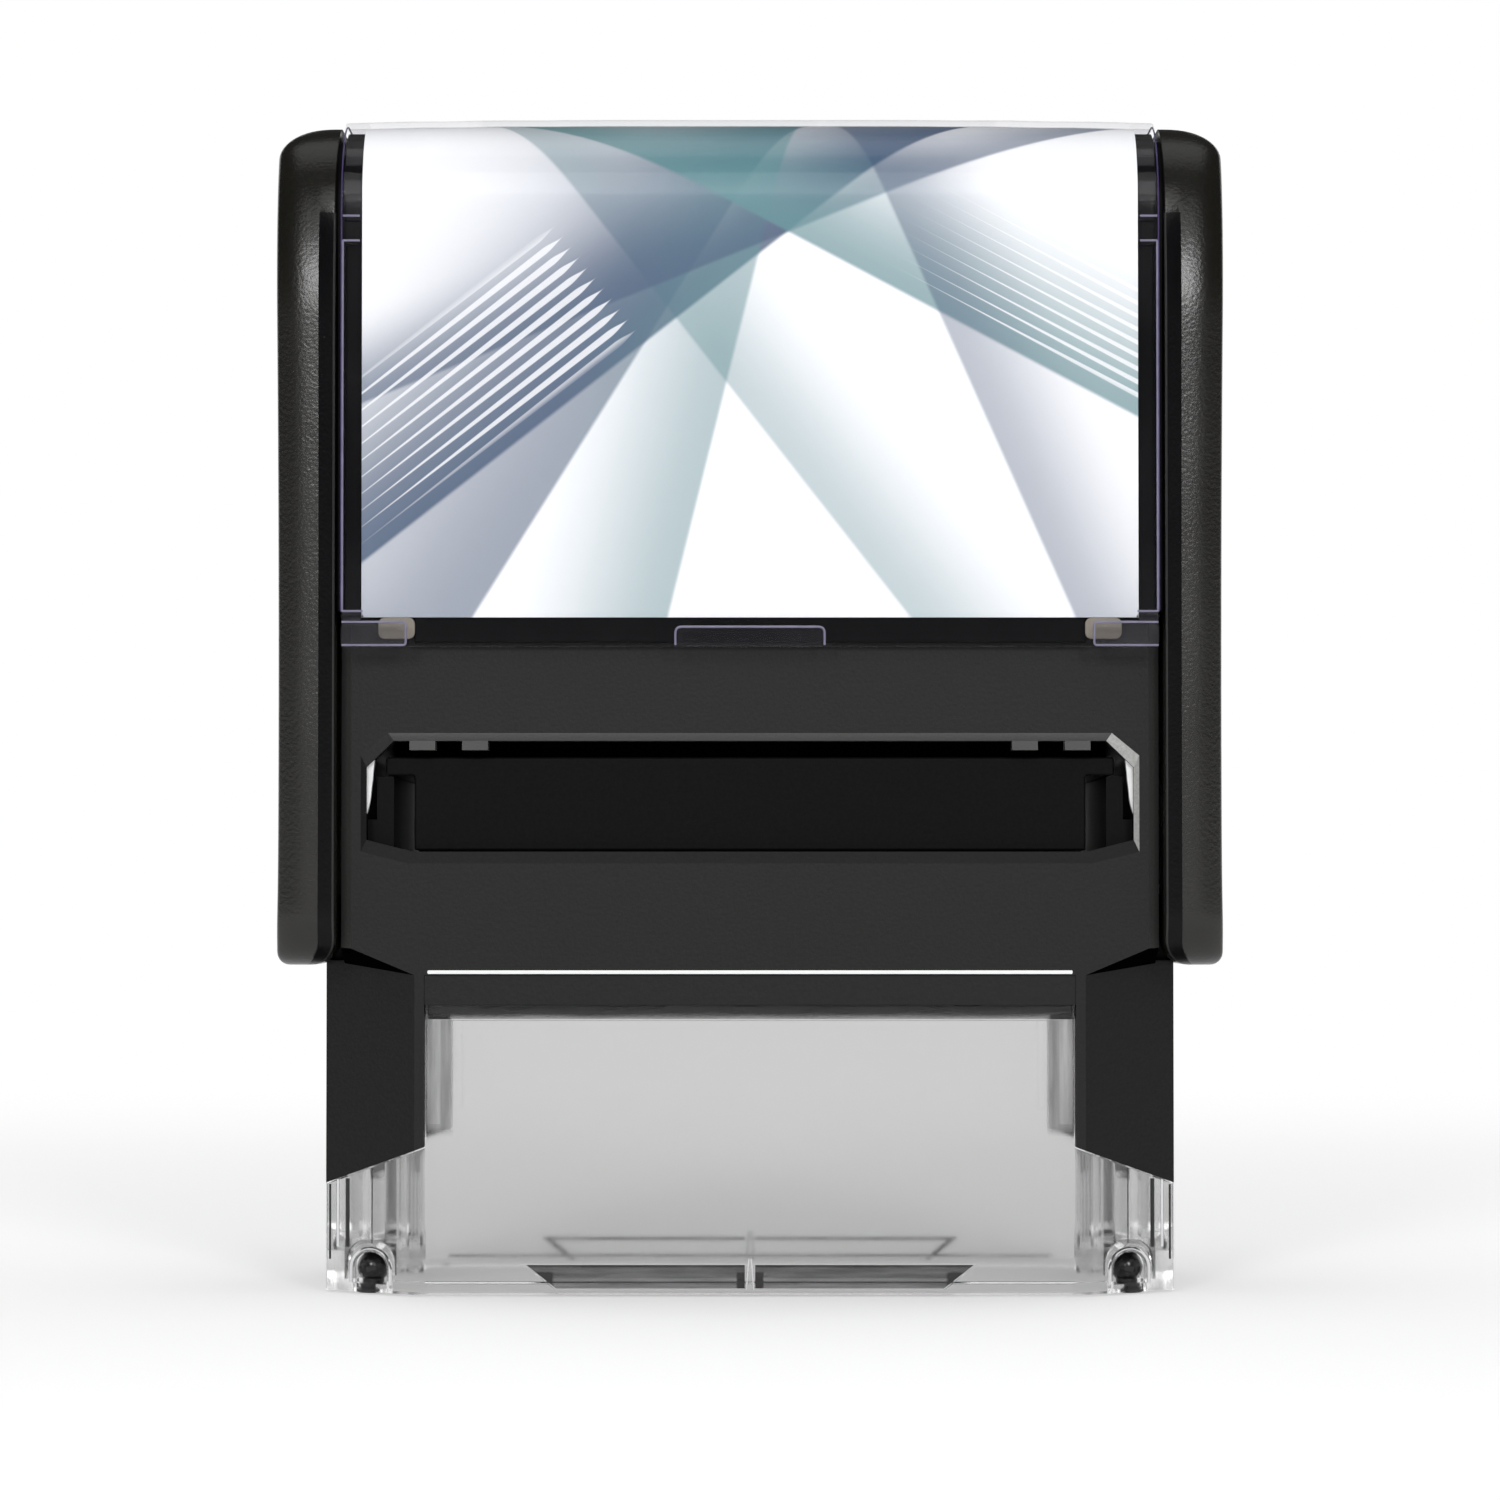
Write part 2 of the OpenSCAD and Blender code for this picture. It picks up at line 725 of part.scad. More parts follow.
module return_spring(side) {
    rings = spring_turns * rings_per_turn;
    points = [for (ring = [0:rings]) each wire_ring(ring / rings_per_turn)];
    walls = [
        for (ring = [0:rings - 1], side = [0:wire_sides - 1]) let (
            a = ring * wire_sides + side,
            b = ring * wire_sides + (side + 1) % wire_sides
        ) each [[a, b, a + wire_sides], [b, b + wire_sides, a + wire_sides]]
    ];
    start = [for (side = [1:wire_sides - 2]) [0, side + 1, side]];
    last = rings * wire_sides;
    end = [for (side = [1:wire_sides - 2]) [last, last + side, last + side + 1]];
    color(steel_colour) on_side(side) translate([spring_x, 0, spring_z0])
        polyhedron(points = points, faces = concat(walls, start, end));
}

// The cap's side view: upright walls and rounded upper edges
module round_top(half, z0, z1, radius) {
    translate([-half, z0]) square([2 * half, z1 - radius - z0]);
    translate([radius - half, z0]) square([2 * (half - radius), z1 - z0]);
    for (side = [-1, 1]) translate([side * (half - radius), z1 - radius]) circle(radius);
}

// The cap's outer form, grown by a distance, with its crowned top
module cap_form(grow, half_x, z0) {
    radius = (grip_x0 * grip_x0 + crown * crown) / (2 * crown);
    intersection() {
        along_x(-half_x, half_x) round_top(core_y + grow, z0, core_top + grow + past, core_r + grow);
        translate([0, 0, core_top - radius]) rotate([90, 0, 0])
            cylinder(r = radius + grow, h = far, center = true, $fn = crown_fn);
    }
}

module cap_core() {
    color(black_part) {
        difference() {
            cap_form(0, grip_x0, core_z0);
            along_x(-far, far) round_top(core_y0, 0, cap_under, core_r - core_wall);
            both_sides() translate([grip_x0 - core_notch_w, -far / 2, 0])
                cube([far, far, core_z0 + core_notch_h]);
        }
        both_sides() translate([spring_x, 0, cap_under - peg_h]) cylinder(r = peg_r, h = peg_h + past);
    }
}

module index_window() {
    grow = card_room + window_t;
    color(lilac_plastic) {
        difference() {
            cap_form(grow, window_x, window_z0);
            cap_form(card_room, far, 0);
        }
        for (front = [0, 1]) mirror([0, front, 0]) {
            both_sides() translate([window_x - corner_w, -window_y - corner_proud, window_z0])
                cube([corner_w, corner_proud + past, corner_h]);
            translate([-lip_w / 2, -window_y - corner_proud, window_z0])
                cube([lip_w, corner_proud + past, lip_h]);
        }
    }
}

module index_card() {
    tab_x = card_x - tab_in - tab_w;
    color(card_colour) {
        difference() {
            cap_form(card_gap + card_t, card_x, card_z0);
            cap_form(card_gap, far, 0);
        }
        all_corners() translate([tab_x, core_y + card_gap, card_z0 - tab_h])
            cube([tab_w, card_t, tab_h + past]);
    }
}

// A grip seen from the front
module grip_front() {
    polygon(concat(
        corner_arc([grip_x0 + toe_r, grip_z0 + toe_r], [toe_r, toe_r], 180),
        corner_arc([grip_x - heel_r, grip_z0 + heel_r], [heel_r, heel_r], 270),
        corner_arc([grip_x - shoulder_w, grip_top - shoulder_h], [shoulder_w, shoulder_h], 0),
        [[grip_x0, grip_top]]
    ));
}

// A grip seen from the side
module grip_side() {
    roll = core_r + card_room + window_t;
    polygon(concat(
        corner_arc([grip_foot_r - grip_y, grip_z0 + grip_foot_r], [grip_foot_r, grip_foot_r], 180),
        corner_arc([grip_y - grip_foot_r, grip_z0 + grip_foot_r], [grip_foot_r, grip_foot_r], 270),
        corner_arc([grip_y - roll, grip_top - roll], [roll, roll], 0),
        corner_arc([roll - grip_y, grip_top - roll], [roll, roll], 90)
    ));
}

// A grip seen from above
module grip_plan() {
    polygon(concat(
        corner_arc([grip_x - grip_r, grip_r - grip_y], [grip_r, grip_r], 270),
        corner_arc([grip_x - grip_r, grip_y - grip_r], [grip_r, grip_r], 0),
        [[grip_x0, grip_y], [grip_x0, -grip_y]]
    ));
}

module grip(side) {
    color(black_grip) on_side(side) difference() {
        intersection() {
            translate([0, 0, grip_z0]) linear_extrude(grip_top - grip_z0) grip_plan();
            along_y(2 * grip_y) grip_front();
            along_x(grip_x0, grip_x) grip_side();
        }
        block(0, channel_x, channel_y, 0, channel_top);
        translate([channel_x - past, 0, axle_z]) rotate([0, 90, 0])
            cylinder(r = axle_r + bearing_gap, h = axle_seat + 2 * past);
        along_x(channel_x - past, lock_seat_x) translate([0, lock_z])
            pill(lock_w + 2 * (lock_rim + lock_gap), lock_h + 2 * (lock_rim + lock_gap));
        along_x(lock_seat_x - past, far) translate([0, lock_z])
            pill(lock_w + 2 * lock_gap, lock_h + 2 * lock_gap);
    }
}

module lock_button(side) {
    color(black_part) on_side(side) translate([0, 0, lock_z]) {
        along_x(lock_rim_x, grip_x + lock_proud) pill(lock_w, lock_h);
        along_x(lock_rim_x, lock_rim_x + lock_rim_t) pill(lock_w + 2 * lock_rim, lock_h + 2 * lock_rim);
        along_x(tongue_x, lock_rim_x + past) square([2 * tongue_half, tongue_h], center = true);
    }
}

// An end cheek, seen along X
module cheek_shape() {
    arm_r = cam_pin_r + cheek_t / 2;
    circle(cheek_r);
    translate([0, -arm_r]) square([cam_r, 2 * arm_r]);
    translate([cam_r, 0]) circle(arm_r);
}

module die_holder() {
    hollow_x = (holder_x - 2 * cheek_t) / 2;
    color(black_part) translate([0, 0, axle_z]) {
        difference() {
            slab(holder_x, holder_y, -holder_back, holder_front);
            for (side = [-1, 1]) translate([side * (hollow_x + cheek_t / 2), 0, 0])
                slab(hollow_x, holder_y - cheek_t, -holder_back - past, holder_hollow - holder_back);
        }
        both_sides() {
            along_x(holder_x - past, cheek_x) cheek_shape();
            translate([cheek_x - past, 0, 0]) rotate([0, 90, 0])
                cylinder(r = axle_r, h = channel_x + axle_seat - cheek_x + past);
            translate([cheek_x - past, cam_r, 0]) rotate([0, 90, 0])
                cylinder(r = cam_pin_r, h = cam_x0 + groove_depth - groove_gap - cheek_x + past);
        }
    }
}

module die_cushion() {
    z0 = axle_z + holder_front;
    color(foam_colour) slab(print_w / 2, print_d / 2, z0, z0 + cushion_t);
}

module text_plate() {
    z0 = axle_z + holder_front + cushion_t;
    pitch = print_d / bar_count;
    color(rubber_colour) {
        slab(print_w / 2, print_d / 2, z0, z0 + plate_t);
        for (bar = [0:bar_count - 1]) translate([0, (bar + 0.5) * pitch - print_d / 2, 0])
            slab(print_w / 2 - end_rim, (pitch - bar_gap) / 2, z0, z0 + plate_t + relief_t);
    }
}

module pad_tray() {
    color(black_part) {
        difference() {
            slab(tray_x, tray_y, tray_z0, tray_z1);
            slab(pad_x, pad_y, 0, tray_z0 + pad_t);
        }
        slab(flange_x, tray_y, flange_z0, tray_z1);
    }
}

module ink_pad() {
    color(ink_colour) slab(pad_x - fit_gap, pad_y - fit_gap, tray_z0, tray_z0 + pad_t);
}

echo(least_gap_of_spring_wire = wire_gap());

housing();
cam_plate(-1);  // left_cam_plate
cam_plate(1);  // right_cam_plate
clear_base();
rubber_foot(-1, -1);  // front_left_foot
rubber_foot(1, -1);  // front_right_foot
rubber_foot(-1, 1);  // rear_left_foot
rubber_foot(1, 1);  // rear_right_foot
return_spring(-1);  // left_spring
return_spring(1);  // right_spring
cap_core();
grip(-1);  // left_grip
grip(1);  // right_grip
index_window();
index_card();
die_holder();
die_cushion();
text_plate();
pad_tray();
ink_pad();
lock_button(-1);  // left_lock_button
lock_button(1);  // right_lock_button
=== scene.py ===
"""Dresses the self inking stamp: moulded black shells, clear plastic, a printed card and a studio stage.

Lengths are in metres in the frame's own axes: +Z is up and the front faces -Y.
"""

import json

import bmesh
import bpy
import numpy as np
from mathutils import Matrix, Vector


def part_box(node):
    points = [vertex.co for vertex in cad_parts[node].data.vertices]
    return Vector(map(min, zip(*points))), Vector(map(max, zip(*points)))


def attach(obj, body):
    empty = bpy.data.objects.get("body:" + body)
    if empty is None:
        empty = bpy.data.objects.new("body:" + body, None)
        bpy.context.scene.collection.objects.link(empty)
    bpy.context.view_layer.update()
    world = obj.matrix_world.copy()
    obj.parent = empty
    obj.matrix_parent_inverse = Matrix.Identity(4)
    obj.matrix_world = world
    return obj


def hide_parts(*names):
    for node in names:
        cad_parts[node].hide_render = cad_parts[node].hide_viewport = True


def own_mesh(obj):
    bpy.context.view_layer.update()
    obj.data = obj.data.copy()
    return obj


bl_info = {
    "name": "Self inking stamp",
    "version": (1, 0, 0),
    "blender": (4, 5, 0),
    "location": "View3D > Sidebar > Stamp",
    "description": "Builds the looks of a self inking stamp around its packed frame",
    "category": "Object",
}

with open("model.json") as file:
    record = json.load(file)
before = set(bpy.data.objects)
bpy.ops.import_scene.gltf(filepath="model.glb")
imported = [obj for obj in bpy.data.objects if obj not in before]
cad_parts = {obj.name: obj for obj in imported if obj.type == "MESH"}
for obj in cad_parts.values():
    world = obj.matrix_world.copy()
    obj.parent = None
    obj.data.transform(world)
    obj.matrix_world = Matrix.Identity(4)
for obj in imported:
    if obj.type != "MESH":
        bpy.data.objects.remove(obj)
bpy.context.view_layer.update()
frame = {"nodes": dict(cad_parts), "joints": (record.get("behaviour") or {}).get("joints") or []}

MM = 0.001
DEGREE = np.pi / 180
# Corners of a frame node closer than this are one corner
MERGE = 0.0005 * MM
# Neighbouring faces of a frame node that turn less than this are one flat face
FLAT = 0.05 * DEGREE
# Edges that turn more than this stay sharp
CREASE = 32 * DEGREE
# A sliver that keeps touching faces apart
HAIR = 0.01 * MM


def corners(node):
    """Lowest and highest corner of a frame node as two arrays."""
    low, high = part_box(node)
    return np.array(low), np.array(high)


def shade_of(red, green, blue):
    """A screen colour of 0 to 255 as the linear colour that a shader takes."""
    level = np.array([red, green, blue]) / 255
    linear = np.where(level <= 0.04045, level / 12.92, ((level + 0.055) / 1.055) ** 2.4)
    return tuple(float(value) for value in linear)


def length(name, description, default):
    """A size that a user may change, in metres."""
    return bpy.props.FloatProperty(
        name=name, description=description, default=default, min=0.0, unit="LENGTH", precision=5
    )


def colour(name, description, default):
    """A linear colour that a user may change."""
    return bpy.props.FloatVectorProperty(
        name=name, description=description, default=default, min=0.0, max=1.0, size=3, subtype="COLOR"
    )


class StampSizes(bpy.types.PropertyGroup):
    """Sizes of the dressed pieces that the frame leaves open."""

    waist: length("Waist", "How far the grips draw in below mid height", 0.36 * MM)
    crest: length("Crest", "Height over which the grips' tops roll back", 15.6 * MM)
    grip_corner: length("Grip corner", "Radius of the grips' outer edges", 0.7 * MM)
    strip_width: length("Strip width", "Width of the slanting strip along the grips' inner edge", 1.1 * MM)
    strip_depth: length("Strip depth", "Depth of the slanting strip along the grips", 0.6 * MM)
    bead: length("Bead", "Radius of the fine ridges on the clear cover", 0.09 * MM)
    shell_edge: length("Shell edge", "Width of the rounded edges of the black shells", 0.18 * MM)
    clear_edge: length("Clear edge", "Width of the rounded edges of the clear plastic", 0.12 * MM)
    crown: length("Crown", "Fall of the crowned top from its middle to its ends", 0.6 * MM)
    stripe_height: length("Stripe height", "Height of the white stripe on the front", 0.28 * MM)
    wire: length("Spring wire", "Thickness of the spring wire", 1.0 * MM)
    spring_turns: bpy.props.IntProperty(
        name="Spring turns", description="Turns of each return spring", default=9, min=3
    )


class StampColours(bpy.types.PropertyGroup):
    """Colours of the stamp's finishes."""

    shell: colour("Shell", "Moulded shell and skirt", shade_of(22, 22, 22))
    grip: colour("Grip", "Soft grips", shade_of(20, 19, 15))
    part: colour("Part", "Inner black parts", shade_of(14, 14, 14))
    # Worn edges, and painted highlights on the housing's corners and slot and along the grips' inner edges
    wear_and_highlight: colour("Wear", "Worn edges of the black shells", shade_of(58, 58, 57))
    core: colour("Core", "Cap core behind the clear cover", shade_of(9, 9, 11))
    clear: colour("Clear", "What a wall of the base leaves of white light", shade_of(228, 228, 228))
    cover: colour("Cover", "What a face of the cover leaves of white light", shade_of(254, 254, 255))
    edge: colour("Edge", "Ridges of the clear cover that gather light", shade_of(150, 146, 172))
    rim: colour("Rim", "Ends of the clear cover, where its tint shows", shade_of(84, 72, 118))
    pad: colour("Pad", "Hooks and lip of the clear cover", shade_of(54, 52, 62))
    bright: colour("Bright", "Ridges of the clear base that gather light", shade_of(236, 236, 238))
    # Painted shade in bands beside the base's window
    window_side_shade: colour("Veil", "Borders of the base's window", shade_of(200, 200, 201))
    # Painted highlight: white strips at the cartridge slot's ends
    guide: colour("Guide", "Frosted ends of the clear cam tracks", shade_of(250, 250, 250))
    card: colour("Card", "Bare card", shade_of(252, 253, 253))
    slate: colour("Slate", "Darker ink of the card's print", shade_of(52, 80, 112))
    teal: colour("Teal", "Lighter ink of the card's print", shade_of(84, 136, 140))
    tab: colour("Tab", "Paper tabs under the card", shade_of(128, 120, 108))
    # Painted shade in the base's recesses, over its window and in its corner columns
    lip: colour("Lip", "Smoky shade of the base's sighting marks", shade_of(34, 34, 35))
    stripe: colour("Stripe", "Printed stripe on the front", shade_of(245, 245, 245))
    rubber: colour("Rubber", "Text plate", shade_of(116, 52, 44))
    foot: colour("Foot", "Rubber feet", shade_of(16, 16, 17))
    foam: colour("Foam", "Cushion under the text plate", shade_of(152, 146, 136))
    ink: colour("Ink", "Ink soaked pad", shade_of(30, 33, 48))
    steel: colour("Steel", "Return springs", shade_of(190, 192, 195))
    floor: colour("Floor", "Studio floor", shade_of(248, 248, 248))


class StampStage(bpy.types.PropertyGroup):
    """Camera and light of the studio."""

    camera_distance: length("Camera distance", "From the camera to the stamp's middle", 0.4171)
    camera_height: length("Camera height", "Height of the camera above the floor", 0.0305)
    camera_tilt: bpy.props.FloatProperty(
        name="Camera tilt",
        description="How far the camera looks up",
        default=1.65 * DEGREE,
        subtype="ANGLE",
    )
    focal: bpy.props.FloatProperty(
        name="Focal length",
        description="Focal length on a sensor 36 mm wide, in millimetres",
        default=124.8,
        min=1.0,
    )
    sky: bpy.props.FloatProperty(
        name="Sky", description="Level of the even light from all sides", default=0.34, min=0.0
    )
    ceiling: bpy.props.FloatProperty(
        name="Ceiling", description="Level of the room that gloss shows", default=0.06, min=0.0
    )


# Materials


class Wire:
    """A value in a material's nodes. Arithmetic on it adds Math nodes."""

    def __init__(self, finish, socket):
        self.finish = finish
        self.socket = socket

    def __add__(self, other):
        return self.finish.sum("ADD", self, other)

    __radd__ = __add__

    def __sub__(self, other):
        return self.finish.sum("SUBTRACT", self, other)

    def __rsub__(self, other):
        return self.finish.sum("SUBTRACT", other, self)

    def __mul__(self, other):
        return self.finish.sum("MULTIPLY", self, other)

    __rmul__ = __mul__

    def __truediv__(self, other):
        return self.finish.sum("DIVIDE", self, other)

    def __abs__(self):
        return self.finish.sum("ABSOLUTE", self)


class Finish:
    """A material, or the world's nodes, built node by node."""

    def __init__(self, owner):
        owner.use_nodes = True
        self.owner = owner
        self.tree = owner.node_tree
        self.tree.nodes.clear()

    def node(self, kind, settings=None, sockets=None):
        """Adds a node, sets its settings and then its sockets, which take numbers, colours or wires."""
        made = self.tree.nodes.new("ShaderNode" + kind)
        for key, value in (settings or {}).items():
            setattr(made, key, value)
        for key, value in (sockets or {}).items():
            if isinstance(value, Wire):
                self.tree.links.new(value.socket, made.inputs[key])
            else:
                made.inputs[key].default_value = value
        return made

    def wire(self, made, output=0):
        """An output of a node as a wire."""
        return Wire(self, made.outputs[output])

    def sum(self, operation, *values):
        """A Math node on numbers and wires."""
        made = self.node("Math", {"operation": operation}, dict(enumerate(values)))
        return self.wire(made)

    def ramp(self, value, low, high):
        """Rises smoothly from 0 to 1 as the value goes from low to high."""
        sockets = {"Value": value, "From Min": low, "From Max": high}
        return self.wire(self.node("MapRange", {"interpolation_type": "SMOOTHSTEP"}, sockets))

    def blend(self, share, first, second):
        """Mixes two colours, given as wires or as linear colours."""
        settings = {"data_type": "RGBA", "clamp_factor": True}
        first, second = (c if isinstance(c, Wire) else (*c, 1.0) for c in (first, second))
        made = self.node("Mix", settings, {0: share, 6: first, 7: second})
        return self.wire(made, 2)

    def place(self):
        """Object coordinates."""
        return self.wire(self.node("TexCoord"), "Object")

    def noise(self, place, size, detail=2.0):
        """Soft noise of 0 to 1 with grains of a size in metres."""
        sockets = {"Vector": place, "Scale": 1 / size, "Detail": detail}
        return self.wire(self.node("TexNoise", None, sockets), 0)

    def bump(self, height, depth, strength):
        """A normal bent by a height of 0 to 1 that stands for a depth in metres."""
        sockets = {"Height": height, "Distance": depth, "Strength": strength}
        return self.wire(self.node("Bump", None, sockets), "Normal")

    def mix(self, share, first, second):
        """Mixes the shaders of two nodes."""
        sockets = {0: share, 1: self.wire(first), 2: self.wire(second)}
        return self.node("MixShader", None, sockets)

    def principled(self, sockets):
        """Puts a Principled shader on the surface and returns the material."""
        return self.show(self.node("BsdfPrincipled", None, sockets))

    def show(self, shader):
        """Puts a node's shader on the surface and returns the material or world."""
        kind = "OutputWorld" if isinstance(self.owner, bpy.types.World) else "OutputMaterial"
        self.node(kind, None, {"Surface": self.wire(shader)})
        return self.owner


def new_finish(name):
    """The finish of a new material."""
    return Finish(bpy.data.materials.new(name))


def tinted(shade, factor):
    """A colour made lighter or darker."""
    return tuple(min(1.0, float(value) * factor) for value in shade)


# Moulded plastic: how far its colour spreads, the grain's share of that, the size of its clouds, how far its
# roughness spreads, and the strength of its relief
GRAIN_SPREAD, GRAIN_SHARE, CLOUD_SIZE, ROUGH_SPREAD, GRAIN_RELIEF = 0.5, 0.75, 9 * MM, 0.06, 0.5
# Moulded finishes: roughness, size and depth of the grain, and gloss
MOULDINGS = {
    "moulded_shell": (0.5, 0.28 * MM, 0.05 * MM, 0.22),
    # Inner faces of the housing: a smoother, darker and duller moulding that adds painted shade in its
    # recesses
    "smooth_inside": (0.5, 0.3 * MM, 0.01 * MM, 0.06),
    # Painted light on the housing's corners, on the slot's ribs and brow, and on the slot's right end
    "worn_edge": (0.4, 0.2 * MM, 0.02 * MM, 0.4),
    "worn_slot": (0.4, 0.2 * MM, 0.02 * MM, 0.4),
    "rubbed_end": (0.4, 0.2 * MM, 0.02 * MM, 0.4),
    "foot_rubber": (0.24, 0.25 * MM, 0.01 * MM, 0.5),
    "black_inner": (0.4, 0.2 * MM, 0.02 * MM, 0.03),
    "polished_rib": (0.12, 0.2 * MM, 0.002 * MM, 0.4),
    "soft_grip": (0.25, 0.28 * MM, 0.04 * MM, 0.5),
    # Wear and a painted highlight along the grips' inner edges
    "worn_grip": (0.4, 0.2 * MM, 0.02 * MM, 0.4),
    # Painted shade along the slanting strip beside the grips' inner edges
    "grip_seam": (0.3, 0.28 * MM, 0.04 * MM, 0.15),
    "black_button": (0.35, 0.2 * MM, 0.02 * MM, 0.12),
    "black_holder": (0.42, 0.2 * MM, 0.02 * MM, 0.1),
    "black_tray": (0.5, 0.28 * MM, 0.03 * MM, 0.05),
}


def moulded_finish(name, shade):
    """Moulded plastic: fine spark erosion grain in colour, roughness and relief, and faint broad clouding."""
    rough, grain, depth, gloss = MOULDINGS[name]
    finish = new_finish(name)
    place = finish.place()
    fine = finish.noise(place, grain, 3.0)
    broad = finish.noise(place, CLOUD_SIZE)
    share = GRAIN_SHARE * fine + (1 - GRAIN_SHARE) * broad
    paint = finish.blend(share, tinted(shade, 1 - GRAIN_SPREAD), tinted(shade, 1 + GRAIN_SPREAD))
    sockets = {
        "Base Color": paint,
        "Roughness": rough - ROUGH_SPREAD + 2 * ROUGH_SPREAD * broad,
        "Specular IOR Level": gloss,
        "Normal": finish.bump(fine, depth, GRAIN_RELIEF),
    }
    return finish.principled(sockets)


# Size of the clouds of haze in clear plastic, and how much more of soft light than of seen light it passes
HAZE_SIZE, SOFT_GAIN = 4 * MM, 1.1


def clear_finish(name, shade, rough, bend):
    """Clear plastic with faint haze that keeps a share of the light.

    Lamps and soft light pass straight in.
    """
    finish = new_finish(name)
    haze = finish.noise(finish.place(), HAZE_SIZE)
    sockets = {
        "Base Color": (*shade, 1.0),
        "Roughness": rough * 0.5 + rough * haze,
        "Transmission Weight": 1.0,
        "IOR": bend,
    }
    glass = finish.node("BsdfPrincipled", None, sockets)
    path = finish.node("LightPath")
    soft = finish.wire(path, "Is Shadow Ray") + finish.wire(path, "Is Diffuse Ray")
    through = finish.node("BsdfTransparent", None, {"Color": (*tinted(shade, SOFT_GAIN), 1.0)})
    return finish.show(finish.mix(soft, glass, through))


# Share of the light that a clear sheet mirrors when seen straight on, and what it gains when seen flat
SHEET_LEAST, SHEET_GAIN = 0.012, 0.3


def sheet_finish(name, shade, rough):
    """A thin clear sheet: light goes straight through it, and it mirrors a little.

    The mirrored share is least + gain * (1 - cos a)^5, where a is the angle from straight on.
    """
    finish = new_finish(name)
    haze = finish.noise(finish.place(), HAZE_SIZE)
    facing = finish.wire(finish.node("LayerWeight", None, {"Blend": 0.5}), "Facing")
    share = SHEET_LEAST + SHEET_GAIN * finish.sum("POWER", facing, 5.0)
    through = finish.node("BsdfTransparent", None, {"Color": (*shade, 1.0)})
    sockets = {
        "Base Color": (1.0, 1.0, 1.0, 1.0),
        "Metallic": 1.0,
        "Roughness": rough * 0.5 + rough * haze,
    }
    mirror = finish.node("BsdfPrincipled", None, sockets)
    return finish.show(finish.mix(share, through, mirror))


# Streaks in smoky plastic: how much the noise is stretched along x, y and z, and its size before that
LEVEL_STREAKS, UPRIGHT_STREAKS, BROAD_STREAKS = (0.08, 1.0, 1.0), (1.0, 1.0, 0.08), (0.08, 0.08, 0.08)
STREAK_SIZE = 0.4 * MM


def smoky_and_shade_finish(name, shade, cover, streaks=LEVEL_STREAKS):
    """Smoky plastic, and sheets of painted shade: streaks that let part of the light through.

    cover gives the share that is held back from distances from the middle and heights, in millimetres.
    """
    finish = new_finish(name)
    split = finish.node("SeparateXYZ", None, {0: finish.place()})
    across, up = abs(finish.wire(split, 0)) / MM, finish.wire(split, 2) / MM
    stretch = finish.node("Mapping", None, {"Vector": finish.place(), "Scale": streaks})
    streak = finish.noise(finish.wire(stretch), STREAK_SIZE)
    sockets = {
        "Base Color": finish.blend(streak, tinted(shade, 0.8), tinted(shade, 1.2)),
        "Roughness": 0.25 + 0.1 * streak,
        "Alpha": finish.sum("MINIMUM", cover(finish, across, up) * (0.6 + 0.8 * streak), 1.0),
    }
    return finish.principled(sockets)


def recess_shade_cover(finish, across, up):
    """Painted shade in the base's recess: dark along its top edge, at its slanting ends and beside its
    middle.
    """
    band, top, low = finish.ramp(up, 1.35, 1.5), finish.ramp(up, 2.2, 2.35), 1 - finish.ramp(up, 1.7, 2.0)
    ends = finish.ramp(across, 15.0, 15.4) + 1 - finish.ramp(across, 0.9, 1.1)
    return 0.4 + 0.14 * band + 0.3 * top + 0.6 * ends * low


def window_shade_cover(finish, across, up):
    """The painted shade of the lip over the base's window: fades downwards."""
    return 0.3 + 0.65 * finish.ramp(up, 21.2, 21.9)


def side_shade_cover(finish, across, up):
    """The painted shade beside the base's window: fades towards its middle."""
    shade = 0.12 + 0.5 * finish.ramp(across, 22.8, 23.2) + 0.25 * finish.ramp(across, 23.2, 24.6)
    return shade * finish.ramp(up, 12.2, 13.2)


def pad_cover(finish, across, up):
    """The cover's hooks and lip: the hooks are hazier, and all are hazier towards their lower edges."""
    return 0.08 + 0.09 * finish.ramp(across, 8.0, 20.0) - 0.05 * finish.ramp(up, 49.8, 52.4)


# Size of the clouds in the edges of clear plastic, and how strongly acrylic bends light
EDGE_CLOUD, ACRYLIC = 1.2 * MM, 1.49


def edge_and_painted_light_finish(name, shade, clear=0.35):
    """The cut edge of clear plastic, which gathers light, shows its tint and lets a share of it through.

    It also makes painted highlights and painted shade.
    """
    finish = new_finish(name)
    streak = finish.noise(finish.place(), EDGE_CLOUD)
    paint = finish.blend(streak, tinted(shade, 0.7), tinted(shade, 1.2))
    sockets = {
        "Base Color": paint,
        "Roughness": 0.15 + 0.1 * streak,
        "Transmission Weight": clear,
        "IOR": ACRYLIC,
    }
    return finish.principled(sockets)


def glint_finish(name, shade):
    """The rounded edge of clear plastic, which mirrors what is round it."""
    finish = new_finish(name)
    haze = finish.noise(finish.place(), EDGE_CLOUD)
    sockets = {
        "Base Color": finish.blend(haze, tinted(shade, 0.85), shade),
        "Metallic": 1.0,
        "Roughness": 0.12 + 0.1 * haze,
    }
    return finish.principled(sockets)


# Sizes of clouds in foam, die lines and tarnish on wire, noise in the painted shade of gaps, patches of ink
# and paper fibres
FOAM_CLOUD, DIE_LINE, TARNISH, SHADE_NOISE, INK_PATCH, FIBRE = 5 * MM, 0.12 * MM, 6 * MM, 2 * MM, 0.6 * MM, 0.5 * MM
# Rubber and foams: roughness, and size and depth of the pores
PEBBLES = {
    "cushion_foam": (0.8, 0.35 * MM, 0.06 * MM),
    "plate_rubber": (0.55, 0.2 * MM, 0.01 * MM),
    "ink_foam": (0.5, 0.3 * MM, 0.05 * MM),
}


